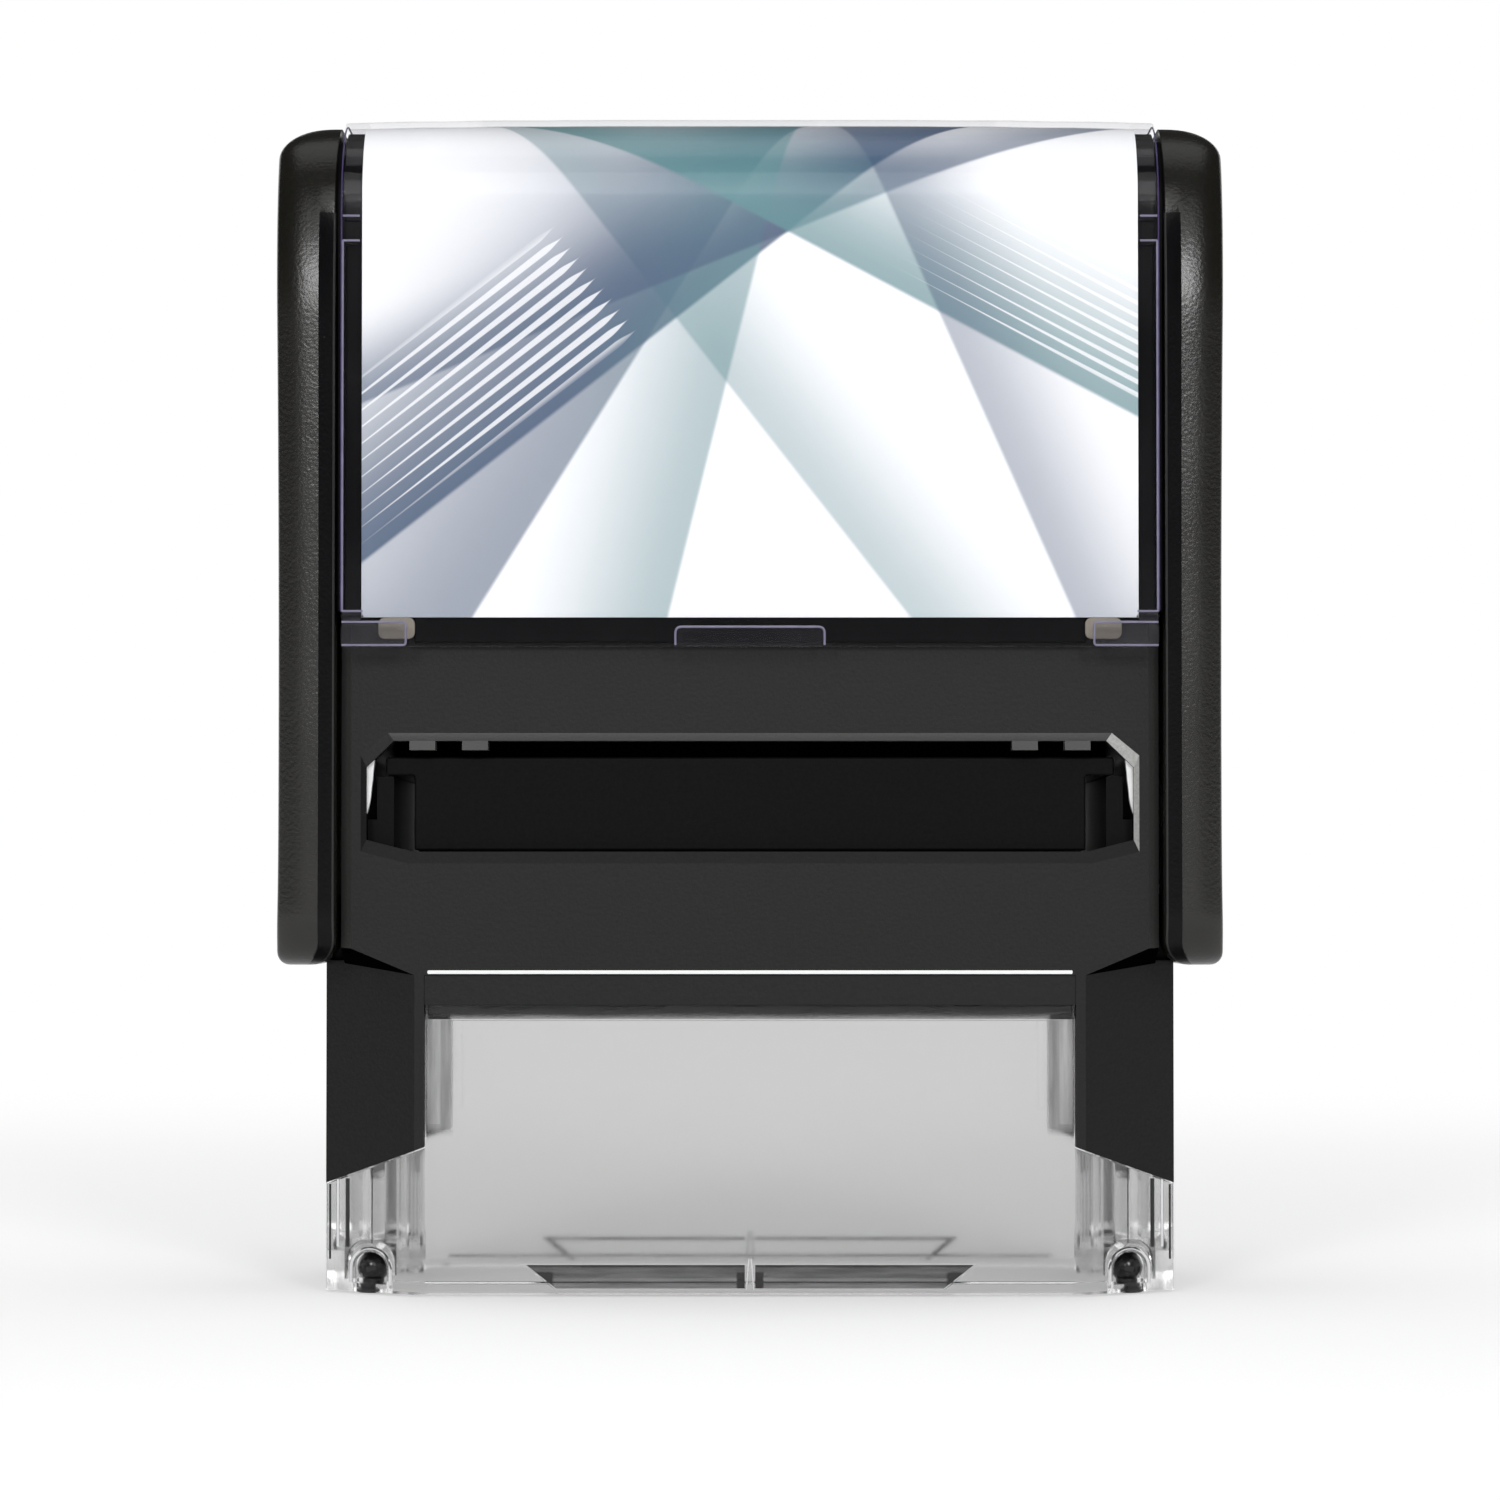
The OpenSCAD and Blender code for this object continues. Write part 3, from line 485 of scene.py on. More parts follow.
def pebbled_finish(name, shade):
    """Rubber or foam: rounded pores in relief, darker at their bottoms."""
    rough, pore, depth = PEBBLES[name]
    finish = new_finish(name)
    place = finish.place()
    cells = finish.node("TexVoronoi", {"feature": "SMOOTH_F1"}, {"Vector": place, "Scale": 1 / pore})
    pores = finish.wire(cells, "Distance")
    broad = finish.noise(place, FOAM_CLOUD)
    paint = finish.blend(0.7 * pores + 0.3 * broad, tinted(shade, 0.65), tinted(shade, 1.25))
    sockets = {
        "Base Color": paint,
        "Roughness": rough + 0.1 * broad,
        "Specular IOR Level": 0.25,
        "Normal": finish.bump(pores, depth, 0.6),
    }
    return finish.principled(sockets)


def wire_finish(name, shade):
    """Drawn steel wire: bright metal with fine die lines and slight tarnish."""
    finish = new_finish(name)
    place = finish.place()
    lines = finish.noise(place, DIE_LINE)
    tarnish = finish.noise(place, TARNISH)
    sockets = {
        "Base Color": finish.blend(tarnish, tinted(shade, 0.8), shade),
        "Metallic": 1.0,
        "Roughness": 0.22 + 0.16 * lines,
        "Normal": finish.bump(lines, 0.01 * MM, 0.3),
    }
    return finish.principled(sockets)


def shadow_finish(name):
    """Painted shade: near-black without gloss, for faces that stand for the bottom of a narrow gap."""
    finish = new_finish(name)
    depth = finish.noise(finish.place(), SHADE_NOISE)
    sockets = {
        "Base Color": finish.blend(depth, (0.0006, 0.0006, 0.0006), (0.0016, 0.0016, 0.0016)),
        "Roughness": 0.9,
        "Specular IOR Level": 0.0,
    }
    return finish.principled(sockets)


def printed_finish(name, shade):
    """A flat pad print with slightly uneven ink."""
    finish = new_finish(name)
    patch = finish.noise(finish.place(), INK_PATCH)
    sockets = {
        "Base Color": finish.blend(patch, tinted(shade, 0.94), shade),
        "Roughness": 0.45 + 0.1 * patch,
    }
    return finish.principled(sockets)


# Beams of the card's print: ink, turn of the edge in degrees, place of the edge, reach and strength.
# Places and reaches are in widths of the card, counted from the middle of its lower edge.
CARD_BEAMS = (
    ("teal", 38, 0.16, 0.16, 0.50),
    ("slate", 148, 0.30, 0.40, 0.70),
    ("slate", 128, 0.36, 0.26, 0.90),
    ("teal", 166, 0.10, 0.22, 0.60),
    ("slate", 112, 0.44, 0.12, 0.70),
    ("teal", 62, 0.46, 0.20, 0.80),
    ("slate", 24, 0.38, 0.16, 0.55),
)
# Width of a beam's crisp edge, in widths of the card
BEAM_EDGE = 0.006
# Tapering lines of the card's print: ink, turn, pitch, where they start and how far they reach along
# themselves, and where their group starts and ends across them
CARD_LINES = (
    ("card", 128, 0.017, -0.12, 0.60, 0.375, 0.56),
    ("card", 62, 0.015, -0.46, 0.62, 0.475, 0.62),
)
# Half the width and the soft edge of a line, in pitches, its strength, and the length over which it opens
LINE_HALF, LINE_SOFT, LINE_STRENGTH, LINE_OPENING = 0.3, 0.1, 0.75, 0.04


def card_finish(name, colours):
    """Printed card: straight translucent beams, crisp along one edge and fading from it, on pale paper.

    A beam's distance is along * cos(turn) + up * sin(turn) - place, and its ink covers
    strength * rise(distance) * (1 - fade(distance)). A line covers where its half width, which tapers
    along it, is more than the distance from its middle.
    """
    finish = new_finish(name)
    split = finish.node("SeparateXYZ", None, {0: finish.wire(finish.node("UVMap", {"uv_map": "print"}))})
    along, up = finish.wire(split, 0), finish.wire(split, 1)
    fibre = finish.noise(finish.place(), FIBRE)
    paint = finish.blend(fibre, tinted(colours.card, 0.97), colours.card)
    for ink, turn, place, reach, strength in CARD_BEAMS:
        distance = along * float(np.cos(turn * DEGREE)) + up * float(np.sin(turn * DEGREE)) - place
        cover = strength * finish.ramp(distance, 0.0, BEAM_EDGE) * (1 - finish.ramp(distance, 0.0, reach))
        paint = finish.blend(cover, paint, tuple(getattr(colours, ink)))
    for ink, turn, pitch, start, reach, first, last in CARD_LINES:
        cos, sin = float(np.cos(turn * DEGREE)), float(np.sin(turn * DEGREE))
        across, ahead = along * cos + up * sin, up * cos - along * sin
        off = abs(finish.sum("FRACT", across / pitch) - 0.5)
        taper = 1 - finish.ramp(ahead, start, start + reach)
        half = LINE_HALF * finish.ramp(ahead, start, start + LINE_OPENING) * taper
        group = finish.ramp(across, first, first + pitch) * (1 - finish.ramp(across, last - pitch, last))
        cover = LINE_STRENGTH * group * finish.ramp(half - off, 0.0, LINE_SOFT)
        paint = finish.blend(cover, paint, tuple(getattr(colours, ink)))
    sockets = {
        "Base Color": paint,
        "Roughness": 0.35 + 0.1 * fibre,
        "Normal": finish.bump(fibre, 0.01 * MM, 0.2),
    }
    return finish.principled(sockets)


# Meshes


def mesh_of(name, points, faces):
    """A mesh from points and faces, its faces turned outwards and shaded smooth up to the crease angle."""
    mesh = bpy.data.meshes.new(name)
    mesh.from_pydata(points, [], faces)
    shape = bmesh.new()
    shape.from_mesh(mesh)
    bmesh.ops.recalc_face_normals(shape, faces=shape.faces)
    shape.to_mesh(mesh)
    shape.free()
    return smooth(mesh)


def smooth(mesh):
    """Shades a mesh smooth, apart from edges that turn more than the crease angle."""
    mesh.polygons.foreach_set("use_smooth", np.ones(len(mesh.polygons), bool))
    mesh.set_sharp_from_angle(angle=CREASE)
    mesh.update()
    return mesh


def cells(index):
    """Faces between neighbouring rows and columns of a grid of point numbers."""
    parts = [index[:-1, :-1], index[:-1, 1:], index[1:, 1:], index[1:, :-1]]
    return np.stack(parts, -1).reshape(-1, 4).tolist()


def closed_rows(grids):
    """Points and faces of solids whose rows are closed loops and whose first and last rows are flat ends."""
    points, faces, start = [], [], 0
    for grid in grids:
        rows, columns = grid.shape[:2]
        index = start + np.arange(rows * columns).reshape(rows, columns)
        faces += cells(np.concatenate([index, index[:, :1]], 1))
        faces += [index[0].tolist(), index[-1].tolist()]
        points.append(grid.reshape(-1, 3))
        start += rows * columns
    return np.concatenate(points), faces


def thick_sheet(outer, inner):
    """Points and faces of a sheet between two like grids, with walls along its four edges."""
    rows, columns = outer.shape[:2]
    top = np.arange(rows * columns).reshape(rows, columns)
    low = top + rows * columns
    rim = [top[0], top[1:, -1], top[-1, -2::-1], top[-2:0:-1, 0]]
    loop = np.concatenate(rim + [top[0, :1]])
    walls = cells(np.stack([loop, loop + rows * columns]))
    points = np.concatenate([outer.reshape(-1, 3), inner.reshape(-1, 3)])
    return points, cells(top) + cells(low[:, ::-1]) + walls


def rounded_outline(half_a, half_b, radius, steps=8):
    """A rectangle with round corners, as (a, b): a quarter circle about each corner's centre."""
    turn = np.linspace(0, np.pi / 2, steps)
    turns = (turn[None] + np.arange(4)[:, None] * np.pi / 2).ravel()
    signs = np.repeat([[1, 1], [-1, 1], [-1, -1], [1, -1]], steps, 0)
    centre = signs * [half_a - radius, half_b - radius]
    return centre + radius * np.stack([np.cos(turns), np.sin(turns)], -1)


# For each axis of a block: which of x, y, z its outline's two directions and its own axis are
AXIS_ORDER = {"y": (2, 0, 1), "z": (0, 1, 2)}
# Rows round a block's edge and over a crowned face, and how much of that face's half width they cover
EDGE_STEPS, CROWN_STEPS, CROWN_SPAN = 5, 12, 0.98
# The least radius of a block's corners
LEAST_RADIUS = 0.002 * MM


def rounded_block(low, high, axis, corner, edge, crown=0.0):
    """A block with round corners in outline and round edges along its axis, as rows of closed loops.

    Round an edge the outline draws in by edge * (1 - sin t) while it rises by edge * (1 - cos t), for t from
    0 to 90 degrees. A crown raises both faces by crown * (1 - (1 - s)^2), for s from the edge to the middle.
    """
    order = AXIS_ORDER[axis]
    low, high = np.asarray(low)[list(order)], np.asarray(high)[list(order)]
    half, middle = (high - low) / 2, (high + low) / 2
    turn = np.linspace(0, np.pi / 2, EDGE_STEPS)
    draw = edge * (1 - np.sin(turn))
    rise = crown + edge * (1 - np.cos(turn))
    if crown > 0:
        share = np.linspace(CROWN_SPAN, 0, CROWN_STEPS)[:-1]
        span = min(half[0], half[1]) - edge
        draw = np.concatenate([edge + share * span, draw])
        rise = np.concatenate([crown * (1 - share) ** 2, rise])
    draw = np.concatenate([draw, draw[::-1]])
    rise = np.concatenate([rise, 2 * half[2] - rise[::-1]])
    rows = []
    for inset, height in zip(draw, rise):
        radius = max(corner - inset, LEAST_RADIUS)
        flat = rounded_outline(half[0] - inset, half[1] - inset, radius)
        level = np.full((len(flat), 1), height - half[2])
        rows.append(np.concatenate([flat, level], 1) + middle)
    grid = np.stack(rows)
    return grid[..., np.argsort(order)]


def frame_copy(name, node):
    """A copy of a frame node's mesh with its corners merged and its flat faces joined."""
    mesh = frame["nodes"][node].data.copy()
    mesh.name = name
    if "custom_normal" in mesh.attributes:
        mesh.attributes.remove(mesh.attributes["custom_normal"])
    shape = bmesh.new()
    shape.from_mesh(mesh)
    bmesh.ops.remove_doubles(shape, verts=shape.verts, dist=MERGE)
    bmesh.ops.dissolve_limit(shape, angle_limit=FLAT, verts=shape.verts, edges=shape.edges)
    shape.to_mesh(mesh)
    shape.free()
    mesh.materials.clear()
    return smooth(mesh)


def face_places(mesh):
    """Middle and outward direction of each face, as two arrays."""
    places = []
    for field in ("center", "normal"):
        values = np.empty(len(mesh.polygons) * 3, np.float32)
        mesh.polygons.foreach_get(field, values)
        places.append(values.reshape(-1, 3))
    return places


def paint_faces(mesh, material, chosen):
    """Gives the chosen faces a further material."""
    numbers = np.empty(len(mesh.polygons), np.int32)
    mesh.polygons.foreach_get("material_index", numbers)
    numbers[chosen] = len(mesh.materials)
    mesh.materials.append(material)
    mesh.polygons.foreach_set("material_index", numbers)


def add_piece(name, mesh, material, body, slot, *nodes):
    """Puts a mesh in the scene as a piece that rides on a body and stands for the named nodes."""
    piece = bpy.data.objects.new(name, mesh)
    bpy.context.scene.collection.objects.link(piece)
    mesh.materials.append(material)
    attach(piece, body)
    if nodes:
        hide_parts(*nodes)
    return piece


def add_solids(name, grids, material, body, slot, *nodes):
    """Adds a piece of closed solids, each given as rows of loops."""
    return add_piece(name, mesh_of(name, *closed_rows(grids)), material, body, slot, *nodes)


def add_copy(name, node, material, body, slot):
    """Adds a piece that is a merged copy of a frame node and stands for it."""
    return add_piece(name, frame_copy(name, node), material, body, slot, node)


def soften(piece, width, segments=2):
    """Rounds a piece's sharp edges with a bevel."""
    bevel = piece.modifiers.new("soft_edges", "BEVEL")
    bevel.width = width
    bevel.segments = segments
    bevel.limit_method = "ANGLE"
    bevel.angle_limit = CREASE
    bevel.harden_normals = True
    bevel.miter_outer = "MITER_ARC"
    return piece


def cut_out(piece, grid):
    """Cuts a closed solid, given as rows of loops, out of a piece."""
    cutter = bpy.data.objects.new("cutter", mesh_of("cutter", *closed_rows([grid])))
    bpy.context.scene.collection.objects.link(cutter)
    boolean = piece.modifiers.new("cut", "BOOLEAN")
    boolean.operation = "DIFFERENCE"
    boolean.solver = "EXACT"
    boolean.object = cutter
    bpy.context.view_layer.update()
    shown = piece.evaluated_get(bpy.context.evaluated_depsgraph_get())
    mesh = bpy.data.meshes.new_from_object(shown)
    piece.modifiers.remove(boolean)
    bpy.data.objects.remove(cutter)
    piece.data = smooth(mesh)


# Forms of the stamp


# Points up a wall of the cap's profile
WALL_STEPS = 12


def cap_profile(half, top, radius, foot, steps=20):
    """The cap seen from the side, from its front lower edge over the top to its back one, as (y, z).

    Upright walls meet a level top through quarter circles of the radius.
    """
    turn = np.linspace(0, np.pi / 2, steps)
    wall = np.stack([np.full(WALL_STEPS, -half), np.linspace(foot, top - radius, WALL_STEPS)], -1)[:-1]
    arc = np.stack([radius - half - radius * np.cos(turn), top - radius + radius * np.sin(turn)], -1)
    front = np.concatenate([wall, arc])
    return np.concatenate([front, front[::-1] * [-1, 1]])


# Width over which a wall and the crowned roof blend, and points along a sheet
ROOF_SOFT, SHEET_COLUMNS = 0.06 * MM, 41


def crowned_sheet(half_x, profile, crown, reach, top):
    """Carries a side profile along x under a crowned roof.

    The roof stands at top - crown * (x / reach)^2. A point takes the lower of its own height z and the
    roof's r, rounded where they meet: (z + r - sqrt((z - r)^2 + soft^2) + soft) / 2.
    """
    x = np.linspace(-half_x, half_x, SHEET_COLUMNS)[:, None]
    roof = top - crown * (x / reach) ** 2
    z = profile[:, 1]
    height = (z + roof - np.sqrt((z - roof) ** 2 + ROOF_SOFT**2) + ROOF_SOFT) / 2
    height = np.minimum(height, z)
    y = np.broadcast_to(profile[:, 0], height.shape)
    return np.stack([np.broadcast_to(x, height.shape), y, height], -1)


def profile_lengths(profile):
    """Distance along a profile from its first point."""
    steps = np.linalg.norm(np.diff(profile, axis=0), axis=1)
    return np.concatenate([[0], np.cumsum(steps)])


def quarter(size, height, depth):
    """How far a round edge of a size and height has drawn in at a depth below where it starts to turn."""
    share = np.clip(depth / height, 0, 1)
    return size * (1 - np.sqrt(1 - share * share))


# How flat the grips' waist is
WAIST_POWER = 2.5
# Round edges of the grips, as the frame has them
SHOULDER_WIDTH, SHOULDER_HEIGHT = 4.2 * MM, 2.7 * MM
TOE_RADIUS, HEEL_RADIUS, FOOT_RADIUS, ROLL_RADIUS = 2.0 * MM, 1.0 * MM, 4.0 * MM, 7.5 * MM
INNER_EDGE = 0.2 * MM
# Columns of a ring that lie on the inner edge and in the strip beside it, counted from either end of its
# front and back
EDGE_COLUMNS, STRIP_COLUMNS = (1, 2), (3, 4, 5)
# Points of a ring round its inner edge, along its front, round its outer corner and on its outer side
EDGE_POINTS, FRONT_POINTS, CORNER_POINTS, SIDE_COLUMNS = 4, 14, 7, 24
# Last column of a ring's front: the strip adds two points, and the front and its corner share one
FRONT_LAST = EDGE_POINTS + 2 + FRONT_POINTS + CORNER_POINTS - 2
# Rings round the grips' feet, up their sides and over their tops
FOOT_RINGS, BODY_RINGS, TOP_RINGS = 14, 40, 40
# The channel in the grips' inner sides
CHANNEL_DEPTH, CHANNEL_HALF, CHANNEL_TOP = 1.5 * MM, 12.83 * MM, 86.8 * MM
# The grips' fronts turn from START by TURN towards their outer edges, slowly at first, by the power
FRONT_START, FRONT_TURN, FRONT_POWER = 5 * DEGREE, 32 * DEGREE, 2.6
# Top of the slanting strip along the grips, and the height over which it runs out
STRIP_TOP, STRIP_FADE = 86 * MM, 5 * MM
# Where the strip's slope starts, in widths of the inner edge, and ends, before the front starts, and how
# much of its depth is left there
STRIP_START, STRIP_END, START_DIP, END_DIP = 1.2, 0.12 * MM, 0.97, 0.15


def front_curve():
    """A grip's front for a width of 1, and its outer corner for a radius of 1, as across and back distances.

    The front's slope is tan(start + turn * u^power). The corner is a circle that goes on to a right angle.
    """
    u = np.linspace(0, 1, FRONT_POINTS)
    slope = np.tan(FRONT_START + FRONT_TURN * u**FRONT_POWER)
    steps = (slope[1:] + slope[:-1]) / 2 * np.diff(u)
    drop = np.concatenate([[0], np.cumsum(steps)])
    turn = np.linspace(FRONT_START + FRONT_TURN, np.pi / 2, CORNER_POINTS)
    return u, drop, np.sin(turn) - np.sin(turn[0]), np.cos(turn[0]) - np.cos(turn)


def grip_rings(sizes):
    """The right grip as closed rings, one for each height from its foot to its top.

    At a height share t, the outer side stands at x1 less the waist, waist * (1 - |2 sqrt(t) - 1|^power), less
    the heel and shoulder. The depth falls along the round lower and upper corners. Each ring runs from the
    inner front edge over a slanting strip and the curved front to the back, and home past the inner channel.
    """
    low, high = corners("right_grip")
    depth = high[1]
    foot = low[2] + FOOT_RADIUS * (1 - np.cos(np.linspace(0, np.pi / 2, FOOT_RINGS)))
    roll = high[2] - sizes.crest * (1 - np.sin(np.linspace(0, np.pi / 2, TOP_RINGS)))
    body = np.linspace(foot[-1], roll[0], BODY_RINGS)[1:-1]
    upright = np.sort(np.concatenate([foot, body, roll, [CHANNEL_TOP, CHANNEL_TOP + HAIR]]))
    waist_share = np.clip((upright - low[2]) / (high[2] - SHOULDER_HEIGHT - low[2]), 0, 1)
    waist = sizes.waist * (1 - np.abs(2 * np.sqrt(waist_share) - 1) ** WAIST_POWER)
    heel = quarter(HEEL_RADIUS, HEEL_RADIUS, low[2] + HEEL_RADIUS - upright)
    shoulder = quarter(SHOULDER_WIDTH, SHOULDER_HEIGHT, upright - (high[2] - SHOULDER_HEIGHT))
    outer = (high[0] - waist - heel - shoulder)[:, None]
    inner = (low[0] + quarter(TOE_RADIUS, TOE_RADIUS, low[2] + TOE_RADIUS - upright))[:, None]
    lower = quarter(FOOT_RADIUS, FOOT_RADIUS, low[2] + FOOT_RADIUS - upright)
    upper = quarter(ROLL_RADIUS, sizes.crest, upright - (high[2] - sizes.crest))
    half = (depth - lower - upper)[:, None]
    scale = (outer - inner) / (outer - inner).max()
    edge = INNER_EDGE * scale
    strip = inner + edge + sizes.strip_width * scale
    fade = np.clip((STRIP_TOP - upright) / STRIP_FADE, 0, 1)[:, None]
    dip = sizes.strip_depth * scale * fade * fade * (3 - 2 * fade)
    corner = sizes.grip_corner * scale
    across, drop, corner_x, corner_y = front_curve()
    span = outer - strip - corner * corner_x[-1]
    edge_turn = np.linspace(0, np.pi / 2, EDGE_POINTS)[None]
    front_x = np.concatenate(
        [
            inner + edge * (1 - np.cos(edge_turn)),
            inner + STRIP_START * edge,
            strip - STRIP_END * scale,
            strip + span * across,
            strip + span + corner * corner_x[1:],
        ],
        1,
    )
    front_y = np.concatenate(
        [
            dip + edge * (1 - np.sin(edge_turn)),
            START_DIP * dip,
            END_DIP * dip,
            span * drop,
            span * drop[-1] + corner * corner_y[1:],
        ],
        1,
    )
    front_y = front_y - half
    side = np.linspace(-1, 1, SIDE_COLUMNS + 2)[None, 1:-1]
    side_y = -front_y[:, -1:] * side
    channel = np.where(upright <= CHANNEL_TOP, CHANNEL_DEPTH, 0.0)[:, None] + low[0]
    deep = np.maximum(inner, channel)
    reach = np.minimum(CHANNEL_HALF, half - 2 * edge)
    x = np.concatenate([front_x, outer + 0 * side_y, front_x[:, ::-1], inner, deep, deep, inner], 1)
    y = np.concatenate([front_y, side_y, -front_y[:, ::-1], reach, reach, -reach, -reach], 1)
    z = np.broadcast_to(upright[:, None], x.shape)
    return np.stack([x, y, z], -1)


# How much slower than its middle a spring rises at its ends
COIL_EASE = 0.55


def spring_coil(node, sizes, steps=26, sides=10):
    """A helix of round wire inside a spring node's box, with its end turns closed up.

    The wire's middle stands at radius * (cos a, sin a) and rises by s - ease * sin(2 pi s) / (2 pi), and a
    circle of the wire's radius is carried along it.
    """
    low, high = corners(node)
    middle = (low + high) / 2
    thick = sizes.wire / 2
    radius = (high[0] - low[0]) / 2 - thick
    count = sizes.spring_turns * steps + 1
    share = np.linspace(0, 1, count)
    ease = share - np.sin(2 * np.pi * share) / (2 * np.pi) * COIL_EASE
    turn = 2 * np.pi * sizes.spring_turns * share
    out = np.stack([np.cos(turn), np.sin(turn), 0 * turn], -1)
    path = middle * [1, 1, 0] + radius * out
    path[:, 2] = low[2] + thick + (high[2] - low[2] - 2 * thick) * ease
    round_wire = np.linspace(0, 2 * np.pi, sides, endpoint=False)
    across = np.cos(round_wire)[None, :, None] * out[:, None]
    upward = np.sin(round_wire)[None, :, None] * np.array([0, 0, 1.0])
    return path[:, None] + thick * (across + upward)


# The rubber feet: radius of the sole's edge, its height, the neck's height in soles and its share of the
# radius
SOLE_EDGE, SOLE_TOP, NECK_RISE, NECK_SHARE = 0.15 * MM, 0.32 * MM, 1.6, 0.68
# Points round the sole's edge and up the ball, and the angle of the small flat at the ball's top
SOLE_POINTS, BALL_POINTS, POLE = 6, 24, 0.02


def foot_rings(node, steps=32):
    """A rubber foot turned about its own axis: a round sole, a neck and a ball that fills the boss.

    Its radius and height follow a quarter circle at the sole's edge and radius * (cos a, sin a) on the ball.
    """
    low, high = corners(node)
    radius = (high[0] - low[0]) / 2
    neck = NECK_SHARE * radius
    turn = np.linspace(0, np.pi / 2, SOLE_POINTS)
    ball = np.linspace(-np.arccos(neck / radius), np.pi / 2 - POLE, BALL_POINTS)
    centre = high[2] - radius
    reach = np.concatenate([radius - SOLE_EDGE * (1 - np.sin(turn)), [radius, neck], radius * np.cos(ball)])
    shoulder = [low[2] + SOLE_TOP, low[2] + NECK_RISE * SOLE_TOP]
    rise = np.concatenate([low[2] + SOLE_EDGE * (1 - np.cos(turn)), shoulder, centre + radius * np.sin(ball)])
    around = np.linspace(0, 2 * np.pi, steps, endpoint=False)
    x = (low[0] + high[0]) / 2 + reach[:, None] * np.cos(around)
    y = (low[1] + high[1]) / 2 + reach[:, None] * np.sin(around)
    return np.stack([x, y, np.broadcast_to(rise[:, None], x.shape)], -1)


# The white strips of painted highlight beside the cartridge slot: outer side, width and how far it wanders,
# foot, height, and how far their fronts and backs stand before the cam plates
GLINT_OUT, GLINT_WIDTH, GLINT_WANDER = 29.6 * MM, 0.62 * MM, 0.06 * MM
GLINT_FOOT, GLINT_HEIGHT, GLINT_FRONT, GLINT_BACK = 37.1 * MM, 5.0 * MM, 8.2 * MM, 7.4 * MM


def slot_glint_rows(steps=24):
    """A white strip of painted highlight in the wall beside the cartridge slot: an upright strip whose inner
    edge wanders.

    At a height share t it is width * min(1, 0.15 + 1.6 t) + wander * sin(9 t) wide.
    """
    low = corners("right_cam_plate")[0]
    share = np.linspace(0, 1, steps)
    outer = np.full(steps, GLINT_OUT)
    width = GLINT_WIDTH * np.minimum(1, 0.15 + 1.6 * share) + GLINT_WANDER * np.sin(9 * share)
    inner = outer - width
    z = GLINT_FOOT + GLINT_HEIGHT * share
    front, back = low[1] - GLINT_FRONT, low[1] - GLINT_BACK
    x = np.stack([outer, inner, inner, outer], -1)
    y = np.broadcast_to([front, front, back, back], x.shape)
    return np.stack([x, y, np.broadcast_to(z[:, None], x.shape)], -1)


def bead_rows(path, radius, square=(0, -1, 0), sides=8):
    """A round ridge along a path in a plane that a direction is square to.

    Round each point stands a circle: radius * (cos a * side + sin a * square), where side is square to both.
    """
    path = np.asarray(path, float)
    ahead = np.gradient(path, axis=0)
    ahead /= np.linalg.norm(ahead, axis=1, keepdims=True)
    side = np.cross(ahead, square)
    turn = np.linspace(0, 2 * np.pi, sides, endpoint=False)[None, :, None]
    return path[:, None] + radius * (np.cos(turn) * side[:, None] + np.sin(turn) * np.array(square, float))


def arch_path(middle, half, spring, foot, steps=24):
    """Up one side of an opening, over its half round head and down the other side, as (x, z)."""
    turn = np.linspace(0, np.pi, steps)
    head = np.stack([middle + half * np.cos(turn), spring + half * np.sin(turn)], -1)
    return np.concatenate([[[middle + half, foot]], head, [[middle - half, foot]]])


def on_facet(flat, high):
    """Points (x, z) laid on the front right corner facet of the base, whose highest corner is given.

    From its front edge the facet draws back by its depth over its width.
    """
    back = (flat[:, 0] - (high[0] - FACET[0])) * FACET[1] / FACET[0]
    return np.stack([flat[:, 0], np.maximum(back, 0) - high[1], flat[:, 1]], -1)


def bent_path(points, radius, y, steps=8):
    """An open path through (x, z) points with each inner corner rounded by a quadratic curve."""
    points = np.asarray(points, float)
    parts = [points[:1]]
    share = np.linspace(0, 1, steps)[:, None]
    for before, corner, after in zip(points, points[1:], points[2:]):
        start = corner + (before - corner) * radius / np.linalg.norm(before - corner)
        end = corner + (after - corner) * radius / np.linalg.norm(after - corner)
        parts.append((1 - share) ** 2 * start + 2 * share * (1 - share) * corner + share**2 * end)
    flat = np.concatenate(parts + [points[-1:]])
    return np.stack([flat[:, 0], np.full(len(flat), y), flat[:, 1]], -1)


def pill_loop(half_y, half_z, middle_z, grow, steps=24):
    """A level rectangle with round ends, grown by a distance, as (y, z)."""
    turn = np.linspace(-np.pi / 2, np.pi / 2, steps)
    right = np.stack([half_y - half_z + (half_z + grow) * np.cos(turn), (half_z + grow) * np.sin(turn)], -1)
    return np.concatenate([right, -right]) + [0, middle_z]


def carried(loop, axis, places):
    """A flat loop carried along an axis, as one row for each place on it."""
    rows = [np.insert(loop, "xyz".index(axis), place, axis=1) for place in places]
    return np.stack(rows)


def mirrored(grid, side):
    """A grid on its own side, or its mirror image in x."""
    return grid * [side, 1, 1]


SIDES = (("left", -1), ("right", 1))


class StampOperator(bpy.types.Operator):
    """What the stamp's operators share."""

    bl_options = {"REGISTER", "UNDO"}


# Faces of the housing nearer to its axis than this share of its half width and depth are inside it
INSIDE_SHARE = 0.93
# Heights of the ribs' feet, the front slot's roof and the upper edge of its bevel, and how far each is raised
SLOT_RISES = ((41.8 * MM, 0.2 * MM), (42.3 * MM, 0.42 * MM), (43.2 * MM, 0.13 * MM))
# How far the ribs move outwards, the heights between which their feet lie and how far out they reach
RIB_SHIFT, RIB_BAND, RIB_REACH = 0.3 * MM, (41.7 * MM, 42.4 * MM), 26.2 * MM
